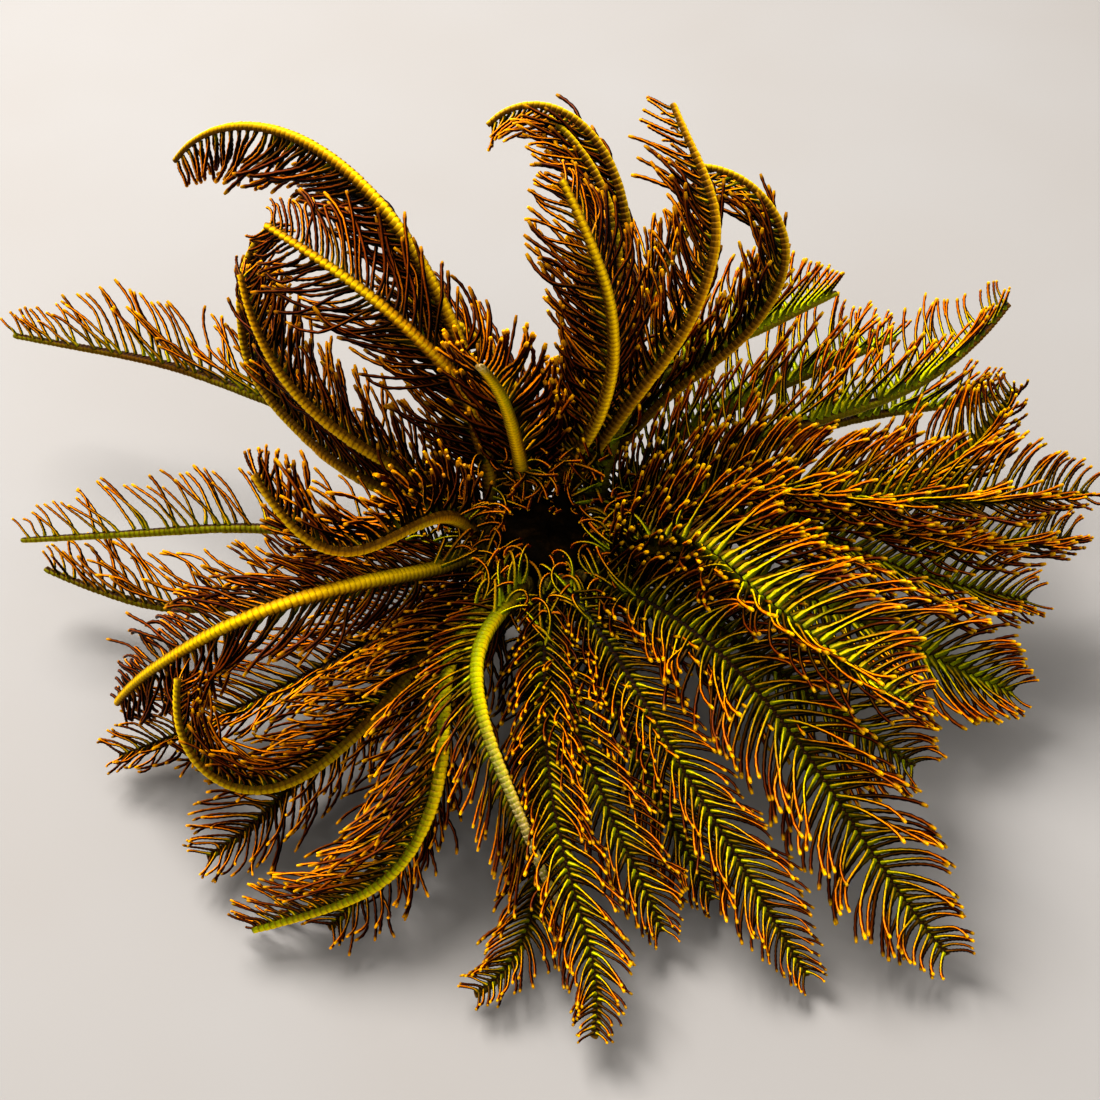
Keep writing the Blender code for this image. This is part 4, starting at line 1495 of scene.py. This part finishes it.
@dataclass
class OralPinnules:
    """Thin curling pinnules that the arms' roots send over the disc."""

    finish: PinnuleFinish
    per_arm: int = 11
    first: float = 0.5
    spacing: float = 0.9
    length: tuple[float, float] = (6.0, 11.5)
    turn: tuple[float, float] = (60.0, 240.0)
    girth: tuple[float, float] = (0.34, 0.26)
    points: int = 28
    rings: int = 36
    sides: int = 5
    bead_depth: float = 0.2
    inward: tuple[float, float] = (0.1, 0.9)
    upward: tuple[float, float] = (0.2, 0.9)
    sideways: tuple[float, float] = (0.1, 0.6)
    disc_reach: float = 8.2
    disc_top: float = 29.0
    disc_fall: float = 3.5
    rise: float = 0.25
    green: tuple[float, float] = (0.15, 0.2)
    shades: tuple[float, float] = (0.5, 1.0)
    # Place that the painted shade at the body reads; at 0.25 it leaves the oral pinnules undarkened
    depth_place: float = 0.25

    def path(self, line: ArmLine, number: int, root: Array, draw: np.random.Generator) -> Array:
        """Draws one pinnule, which curls over the disc without touching it.

        Args:
            line: the centreline of its arm.
            number: its number on the arm, which gives its side.
            root: where it springs.
            draw: the source of small differences.

        Returns:
            Its points, in millimetres.
        """
        t = np.linspace(0, 1, self.points)
        inward = unit(np.array([-root[0], -root[1], 0.0]))
        up = np.array([0.0, 0.0, 1.0])
        side = line.across[0] * (1 if number % 2 else -1)
        start = unit(
            inward * draw.uniform(*self.inward) + up * draw.uniform(*self.upward)
            + side * draw.uniform(*self.sideways))
        bend = unit(inward * 0.6 - up * draw.uniform(-0.4, 0.6) + side * draw.uniform(-1.0, 1.0))
        bend = unit(bend - start * (bend @ start))
        # The curl tightens towards the tip
        angle = math.radians(draw.uniform(*self.turn)) * t ** 2.2
        run = start * np.cos(angle)[:, None] + bend * np.sin(angle)[:, None]
        length = draw.uniform(*self.length)
        path = root + np.vstack([np.zeros(3), np.cumsum(run[:-1], axis=0)]) * length / self.points
        reach = np.linalg.norm(path[:, :2], axis=1)
        cover = self.disc_top - self.disc_fall * np.clip(reach / self.disc_reach, 0, 1) ** 3 + self.rise
        path[:, 2] = np.where(reach < self.disc_reach, np.maximum(path[:, 2], cover), path[:, 2])
        return path

    def build(self, lines: list[ArmLine], centre: Vector, coat: PinnuleCoat) -> bpy.types.Object:
        """Builds them.

        Args:
            lines: the arms' centrelines.
            centre: the body's axis on the floor, in metres.
            coat: the arms' pinnules, for their map and their light side.

        Returns:
            The piece.
        """
        draw = np.random.default_rng(SEED + 1)
        paths = []
        greens = []
        roots = []
        for index, line in enumerate(lines):
            for number in range(self.per_arm):
                place = min((self.first + self.spacing * number) / line.pose.length, 1.0)
                root = eased(line.points, np.array([place]))[0]
                paths.append(self.path(line, number, root, draw))
                greens.append(np.clip(line.pose.green + draw.normal(*self.green), 0, 1))
                row = (index + 0.5 + 0.35 * (number % 2 - 0.5)) / len(lines)
                roots.append((0.02 + 0.96 * place, row))
        count = len(paths)
        t = np.linspace(0, 1, self.points)
        girth = self.girth[0] + (self.girth[1] - self.girth[0]) * t
        girth[-1] *= 0.5
        places = np.array(roots)
        values = {
            "girth": np.tile(girth * MM, (count, 1)),
            "along": np.tile(t ** 1.5, (count, 1)),
            "green": np.array(greens),
            "shade": draw.uniform(*self.shades, count),
            "place": np.full(count, self.depth_place),
            "root_u": places[:, 0],
            "root_v": places[:, 1],
        }
        mesh = lines_mesh("oral_pinnules", np.stack(paths) * MM + np.array(centre), values)
        tree = beaded_tube_tree()
        inputs = {
            "Rings": self.rings, "Sides": self.sides, "Beads": (self.rings - 1) / 2,
            "Bead depth": self.bead_depth, "Skin": self.finish.build()}
        grown = grow(mesh, tree, inputs, ("girth",))
        bpy.data.node_groups.remove(tree)
        coat.bake_map(grown)
        coat.face_light(grown)
        return ride_root(show("oral_pinnules", grown))


@dataclass
class RayCrown:
    """Cup and forked rays under one skin."""

    layout: ArmLayout
    finish: FleshFinish
    trunk: tuple[tuple[float, float, float], ...] = (
        (4.6, 15.5, 1.7), (6.5, 15.5, 1.8), (7.3, 16.8, 1.65))
    fork_one: tuple[float, float, float] = (8.1, 18.5, 1.35)
    fork_two: tuple[float, float, float] = (9.2, 20.3, 1.15)
    cup_apothem: float = 5.3
    cup_heights: tuple[float, float] = (13.4, 17.5)
    seat_run: float = 1.3
    seat_radius: float = 1.06
    voxel_mm: float = 0.2
    smoothing: int = 4

    def branches(self, lines: list[ArmLine]) -> tuple[list[list[Array]], list[list[float]]]:
        """Lays out the tubes from the cup to every seat.

        Args:
            lines: the arms' centrelines.

        Returns:
            The tubes' points and their radii.
        """
        tubes = []
        radii = []
        step = self.layout.seat_step
        size = self.layout.arms_per_ray
        for ray in range(self.layout.rays):
            first = self.layout.first_seat + step * size * ray
            middle = first + step * (size - 1) / 2
            trunk = [ring_point(middle, radius, height) for radius, height, _ in self.trunk]
            tubes.append(trunk)
            radii.append([radius for _, _, radius in self.trunk])
            for side in (-1, 1):
                one = ring_point(middle + side * 2 * step, self.fork_one[0], self.fork_one[1])
                sunk = trunk[2] + (trunk[1] - trunk[2]) * 0.3
                tubes.append([sunk, (sunk + one) / 2, one])
                radii.append([self.trunk[2][2] * 0.9, self.fork_one[2], self.fork_one[2]])
                for turn in (-1, 1):
                    heading = middle + side * 2 * step + turn * step
                    two = ring_point(heading, self.fork_two[0], self.fork_two[1])
                    tubes.append([one, (one + two) / 2, two])
                    radii.append([self.fork_one[2], self.fork_one[2] * 0.93, self.fork_two[2]])
                    for half in (-0.5, 0.5):
                        index = round((heading + half * step - self.layout.first_seat) / step)
                        seat = self.layout.seat(index)
                        before = seat - lines[index].ahead[0] * self.seat_run
                        tubes.append([two, before, seat + lines[index].ahead[0] * 0.4])
                        radii.append([self.fork_two[2], self.seat_radius, self.seat_radius])
        return tubes, radii

    def build(self, lines: list[ArmLine], centre: Vector) -> bpy.types.Object:
        """Builds the skin.

        Args:
            lines: the arms' centrelines.
            centre: the body's axis on the floor, in metres.

        Returns:
            The piece.
        """
        tubes, radii = self.branches(lines)
        paths = np.array([np.stack(tube) for tube in tubes]) * MM + np.array(centre)
        mesh = lines_mesh("rays_and_cup", paths, {"girth": np.array(radii) * MM})
        tree = beaded_tube_tree()
        material = self.finish.build(centre + Vector((0, 0, 17.0 * MM)))
        grown = grow(mesh, tree, {"Rings": 12, "Sides": 16, "Bead depth": 0.0, "Skin": material})
        bpy.data.node_groups.remove(tree)
        shape = bmesh.new()
        shape.from_mesh(grown)
        low, high = self.cup_heights
        corner = self.cup_apothem / math.cos(math.pi / self.layout.rays) * MM
        middle = self.layout.first_seat + self.layout.seat_step * (self.layout.arms_per_ray - 1) / 2
        place = Matrix.Translation(centre + Vector((0, 0, (low + high) / 2 * MM)))
        turned = place @ Matrix.Rotation(math.radians(middle + 180 / self.layout.rays), 4, "Z")
        bmesh.ops.create_cone(
            shape, cap_ends=True, segments=self.layout.rays, radius1=corner * 0.92, radius2=corner,
            depth=(high - low) * MM, matrix=turned)
        shape.to_mesh(grown)
        shape.free()
        for label in ("girth", "around", "run"):
            if label in grown.attributes:
                grown.attributes.remove(grown.attributes[label])
        skinned = reskin(grown, self.voxel_mm, self.smoothing)
        piece = show("rays_and_cup", skinned)
        owned = ("calyx",) + tuple("ray_%d" % (ray + 1) for ray in range(self.layout.rays))
        return ride_root(piece, owned)


def reskin(mesh: bpy.types.Mesh, voxel_mm: float, smoothing: int) -> bpy.types.Mesh:
    """Draws one closed skin over overlapping shapes.

    Args:
        mesh: the shapes. It is taken out afterwards.
        voxel_mm: how fine the skin is.
        smoothing: how many rounds of smoothing follow.

    Returns:
        The skin, in the mesh's material.
    """
    name = mesh.name
    materials = list(mesh.materials)
    holder = bpy.data.objects.new(name, mesh)
    bpy.context.scene.collection.objects.link(holder)
    remesh = holder.modifiers.new("skin", "REMESH")
    remesh.mode = "VOXEL"
    remesh.voxel_size = voxel_mm * MM
    remesh.use_smooth_shade = True
    smooth = holder.modifiers.new("soften", "SMOOTH")
    smooth.iterations = smoothing
    smooth.factor = 0.5
    graph = bpy.context.evaluated_depsgraph_get()
    skin = bpy.data.meshes.new_from_object(holder.evaluated_get(graph))
    bpy.data.objects.remove(holder, do_unlink=True)
    bpy.data.meshes.remove(mesh)
    skin.name = name
    skin.materials.clear()
    for material in materials[:1]:
        skin.materials.append(material)
    for face in skin.polygons:
        face.material_index = 0
    return skin


@dataclass
class HookedBase:
    """The centrodorsal plate with its hooked, jointed cirri."""

    finish: FleshFinish
    profile: tuple[tuple[float, float], ...] = (
        (0.0, 9.0), (2.6, 9.0), (3.9, 9.9), (4.6, 11.2), (4.6, 12.7), (4.1, 13.3), (0.0, 13.3))
    cirri: int = 12
    spring: tuple[float, float] = (10.4, 11.6)
    reach: tuple[float, float] = (9.6, 12.6)
    root_depth: float = 1.2
    rise: float = 0.2
    knee_drop: float = 3.4
    claw_height: float = 1.8
    turn: float = 4.0
    swing: float = 6.0
    radii: tuple[float, ...] = (0.85, 0.7, 0.6, 0.52, 0.45)
    joints: int = 13
    joint_depth: float = 0.1
    rings: int = 66
    sides: int = 8
    points: int = 25
    turns: int = 48

    def lines(self) -> Array:
        """Centrelines of the cirri, from the plate down to their ends on the floor."""
        draw = random.Random(SEED)
        lines = []
        for number in range(self.cirri):
            heading = 360.0 * number / self.cirri + draw.uniform(-self.turn, self.turn)
            reach = self.reach[number % 2]
            high = self.spring[number % 2]
            swing = draw.uniform(-self.swing, self.swing)
            stops = (
                (self.profile[3][0] - self.root_depth, high), (reach * 0.7, high + self.rise),
                (reach * 0.97, high - self.knee_drop), (reach, self.claw_height), (reach, 0.0))
            line = [
                ring_point(heading + swing * min(step, 3) / 3, radius, height)
                for step, (radius, height) in enumerate(stops)]
            lines.append(eased(np.stack(line), np.linspace(0, 1, self.points)))
        return np.stack(lines)

    def build(self, centre: Vector) -> bpy.types.Object:
        """Builds the plate and the cirri.

        Args:
            centre: the body's axis on the floor, in metres.

        Returns:
            The piece.
        """
        lines = self.lines()
        girth = eased(np.array(self.radii), np.linspace(0, 1, self.points)) * MM
        values = {"girth": np.tile(girth, (len(lines), 1))}
        mesh = lines_mesh("centrodorsal_and_cirri", lines * MM + np.array(centre), values)
        material = self.finish.build(centre)
        tree = beaded_tube_tree()
        inputs = {
            "Rings": self.rings, "Sides": self.sides, "Beads": float(self.joints),
            "Bead depth": self.joint_depth, "Skin": material}
        grown = grow(mesh, tree, inputs, ("girth", "around", "run"))
        bpy.data.node_groups.remove(tree)
        shape = bmesh.new()
        shape.from_mesh(grown)
        rim = [
            shape.verts.new((centre.x + radius * MM, centre.y, height * MM))
            for radius, height in self.profile]
        edges = [shape.edges.new(pair) for pair in zip(rim, rim[1:])]
        bmesh.ops.spin(
            shape, geom=rim + edges, cent=centre, axis=(0, 0, 1), angle=math.tau, steps=self.turns,
            use_merge=True)
        bmesh.ops.remove_doubles(shape, verts=shape.verts, dist=1e-6)
        bmesh.ops.recalc_face_normals(shape, faces=shape.faces)
        for face in shape.faces:
            face.smooth = True
        shape.to_mesh(grown)
        shape.free()
        piece = show("centrodorsal_and_cirri", grown)
        return ride_root(piece, ("centrodorsal",))


@dataclass
class OralDisc:
    """The soft disc with its mouth, five grooves and the anal cone."""

    finish: FleshFinish
    profile: tuple[tuple[float, float], ...] = (
        (0.0, 17.8), (3.4, 17.8), (4.4, 19.4), (5.7, 21.5), (6.9, 23.5), (7.7, 25.5),
        (7.5, 27.0), (6.0, 28.2), (3.4, 28.8), (1.3, 28.2), (0.5, 27.6), (0.0, 27.5))
    rings: int = 90
    sides: int = 120
    grooves: int = 5
    groove_depth: float = 0.55
    top_from: float = 25.5
    top_over: float = 2.0
    mouth_radius: float = 1.5
    cone: tuple[float, float] = (2.6, 4.2)
    cone_radius: float = 1.5
    cone_height: float = 3.1
    slit: tuple[float, float] = (0.28, 0.5)
    wart_height: float = 0.14

    def surface(self) -> Array:
        """Shapes the disc: five grooves, the anal cone with its slit, and low warts.

        Returns:
            Its points in millimetres, ring by ring, and after them both poles.
        """
        draw = np.random.default_rng(SEED + 2)
        outline = eased(np.array(self.profile), np.linspace(0, 1, self.rings))
        outline[:, 0] = np.maximum(outline[:, 0], 0)
        outline[[0, -1], 0] = 0
        angle = math.tau * np.arange(self.sides) / self.sides
        radius = outline[:, 0][:, None]
        height = outline[:, 1][:, None]
        x = radius * np.cos(angle)[None]
        y = radius * np.sin(angle)[None]
        z = height + np.zeros_like(x)
        top = np.clip((height - self.top_from) / self.top_over, 0, 1)
        ridge = np.cos(self.grooves * angle)[None]
        reach = np.clip(radius / self.mouth_radius, 0, 1)
        z = z - top * reach * self.groove_depth * np.clip(ridge, 0, 1) ** 6
        far = np.hypot(x - self.cone[0], y - self.cone[1])
        rise = np.clip(1 - far / self.cone_radius, 0, 1)
        slit = np.exp(-((far / self.slit[0]) ** 2)) * self.slit[1]
        z = z + top * (self.cone_height * np.clip(rise * 1.6, 0, 1) ** 0.8 - slit)
        warts = draw.normal(0.0, 1.0, x.shape)
        warts = (warts + np.roll(warts, 1, 0) + np.roll(warts, 1, 1) + np.roll(warts, -1, 1)) / 4
        z = z + top * reach * self.wart_height * warts
        points = np.stack([x, y, z], axis=-1)[1:-1].reshape(-1, 3)
        poles = np.array([[0, 0, outline[0, 1]], [0, 0, outline[-1, 1]]])
        return np.vstack([points, poles])

    def faces(self) -> list[tuple[int, ...]]:
        """Joins the rings of points, and closes both poles."""
        rows = self.rings - 2
        faces = []
        for ring in range(rows - 1):
            for step in range(self.sides):
                after = (step + 1) % self.sides
                base = ring * self.sides
                above = base + self.sides
                faces.append((base + step, base + after, above + after, above + step))
        low = rows * self.sides
        last = (rows - 1) * self.sides
        for step in range(self.sides):
            after = (step + 1) % self.sides
            faces.append((low, after, step))
            faces.append((low + 1, last + step, last + after))
        return faces

    def build(self, centre: Vector) -> bpy.types.Object:
        """Builds the disc as one skin.

        Args:
            centre: the body's axis on the floor, in metres.

        Returns:
            The piece.
        """
        points = self.surface() * MM + np.array(centre)
        mesh = bpy.data.meshes.new("oral_disc")
        mesh.from_pydata(points.tolist(), [], self.faces())
        shape = bmesh.new()
        shape.from_mesh(mesh)
        bmesh.ops.recalc_face_normals(shape, faces=shape.faces)
        shape.to_mesh(mesh)
        shape.free()
        for face in mesh.polygons:
            face.use_smooth = True
        mesh.materials.append(self.finish.build(centre))
        return ride_root(show("oral_disc", mesh), ("tegmen",))


@dataclass
class Studio:
    """Pale floor, soft lights and the camera.

    The lights' places and sizes are in metres, their powers in watts.
    """

    elevation: float = 47.0
    distance: float = 296.4
    lens: float = 62.77
    target: tuple[float, float, float] = (0.8, 0.0, 23.0)
    floor_mm: float = 6000.0
    key_place: tuple[float, float, float] = (-0.25, 0.28, 0.62)
    key_power: float = 10.5
    key_size: float = 0.4
    fill_place: tuple[float, float, float] = (0.35, -0.5, 0.5)
    fill_power: float = 1.8
    fill_size: float = 0.6
    world_strength: float = 0.65

    def floor(self) -> None:
        """Lays the floor."""
        shape = bmesh.new()
        bmesh.ops.create_grid(shape, x_segments=1, y_segments=1, size=self.floor_mm * MM / 2)
        mesh = bpy.data.meshes.new("floor")
        shape.to_mesh(mesh)
        shape.free()
        mesh.materials.append(FloorFinish().build())
        show("floor", mesh)

    def light(
        self,
        name: str,
        place: tuple[float, float, float],
        aim: Vector,
        size: float,
        power: float,
    ) -> None:
        """Hangs one soft light.

        Args:
            name: the light's name.
            place: where it hangs, in metres.
            aim: what it looks at.
            size: how wide it is, in metres.
            power: its power in watts.
        """
        lamp = bpy.data.lights.new(name, "AREA")
        lamp.shape = "DISK"
        lamp.size = size
        lamp.energy = power
        item = bpy.data.objects.new(name, lamp)
        bpy.context.scene.collection.objects.link(item)
        item.location = place
        item.rotation_euler = (aim - Vector(place)).to_track_quat("-Z", "Y").to_euler()

    def build(self, centre: Vector) -> None:
        """Sets up the studio.

        Args:
            centre: the body's axis on the floor, in metres.
        """
        self.floor()
        aim = centre + Vector(self.target) * MM
        self.light("key", self.key_place, aim, self.key_size, self.key_power)
        self.light("fill", self.fill_place, aim, self.fill_size, self.fill_power)
        world = bpy.data.worlds.new("studio")
        world.use_nodes = True
        background = world.node_tree.nodes["Background"]
        background.inputs["Color"].default_value = linear_colour("#FFFFFF")
        background.inputs["Strength"].default_value = self.world_strength
        bpy.context.scene.world = world
        bpy.context.scene.view_settings.view_transform = "Standard"
        bpy.context.scene.view_settings.look = "Medium High Contrast"
        camera = bpy.data.cameras.new("camera")
        camera.lens = self.lens
        camera.sensor_width = 36.0
        camera.clip_start = 0.01
        camera.clip_end = 20.0
        item = bpy.data.objects.new("camera", camera)
        bpy.context.scene.collection.objects.link(item)
        tilt = math.radians(self.elevation)
        back = Vector((0.0, -math.cos(tilt), math.sin(tilt)))
        item.location = aim + back * self.distance * MM
        item.rotation_euler = (-back).to_track_quat("-Z", "Y").to_euler()
        bpy.context.scene.camera = item


def body_axis() -> Vector:
    """The body's axis where it meets the floor, read from the disc's solid."""
    low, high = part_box("tegmen")
    return Vector(((low.x + high.x) / 2, (low.y + high.y) / 2, 0.0))


def main() -> None:
    """Builds the feather star and its studio."""
    logging.basicConfig(level=logging.INFO, format="%(message)s")
    centre = body_axis()
    layout = ArmLayout()
    lines = layout.build()
    LOG.info("body axis at %.2f, %.2f mm", centre.x / MM, centre.y / MM)
    Studio().build(centre)
    HookedBase(CIRRUS_SKIN).build(centre)
    RayCrown(layout, RAY_PLATE_SKIN).build(lines, centre)
    OralDisc(DISC_LEATHER).build(centre)
    ArmPlates(layout, PlateFinish()).build(lines, centre)
    coat = PinnuleCoat(layout, PinnuleFinish())
    coat.build(lines, centre)
    OralPinnules(PinnuleFinish("oral_pinnule_skin")).build(lines, centre, coat)


if __name__ == "__main__":
    main()
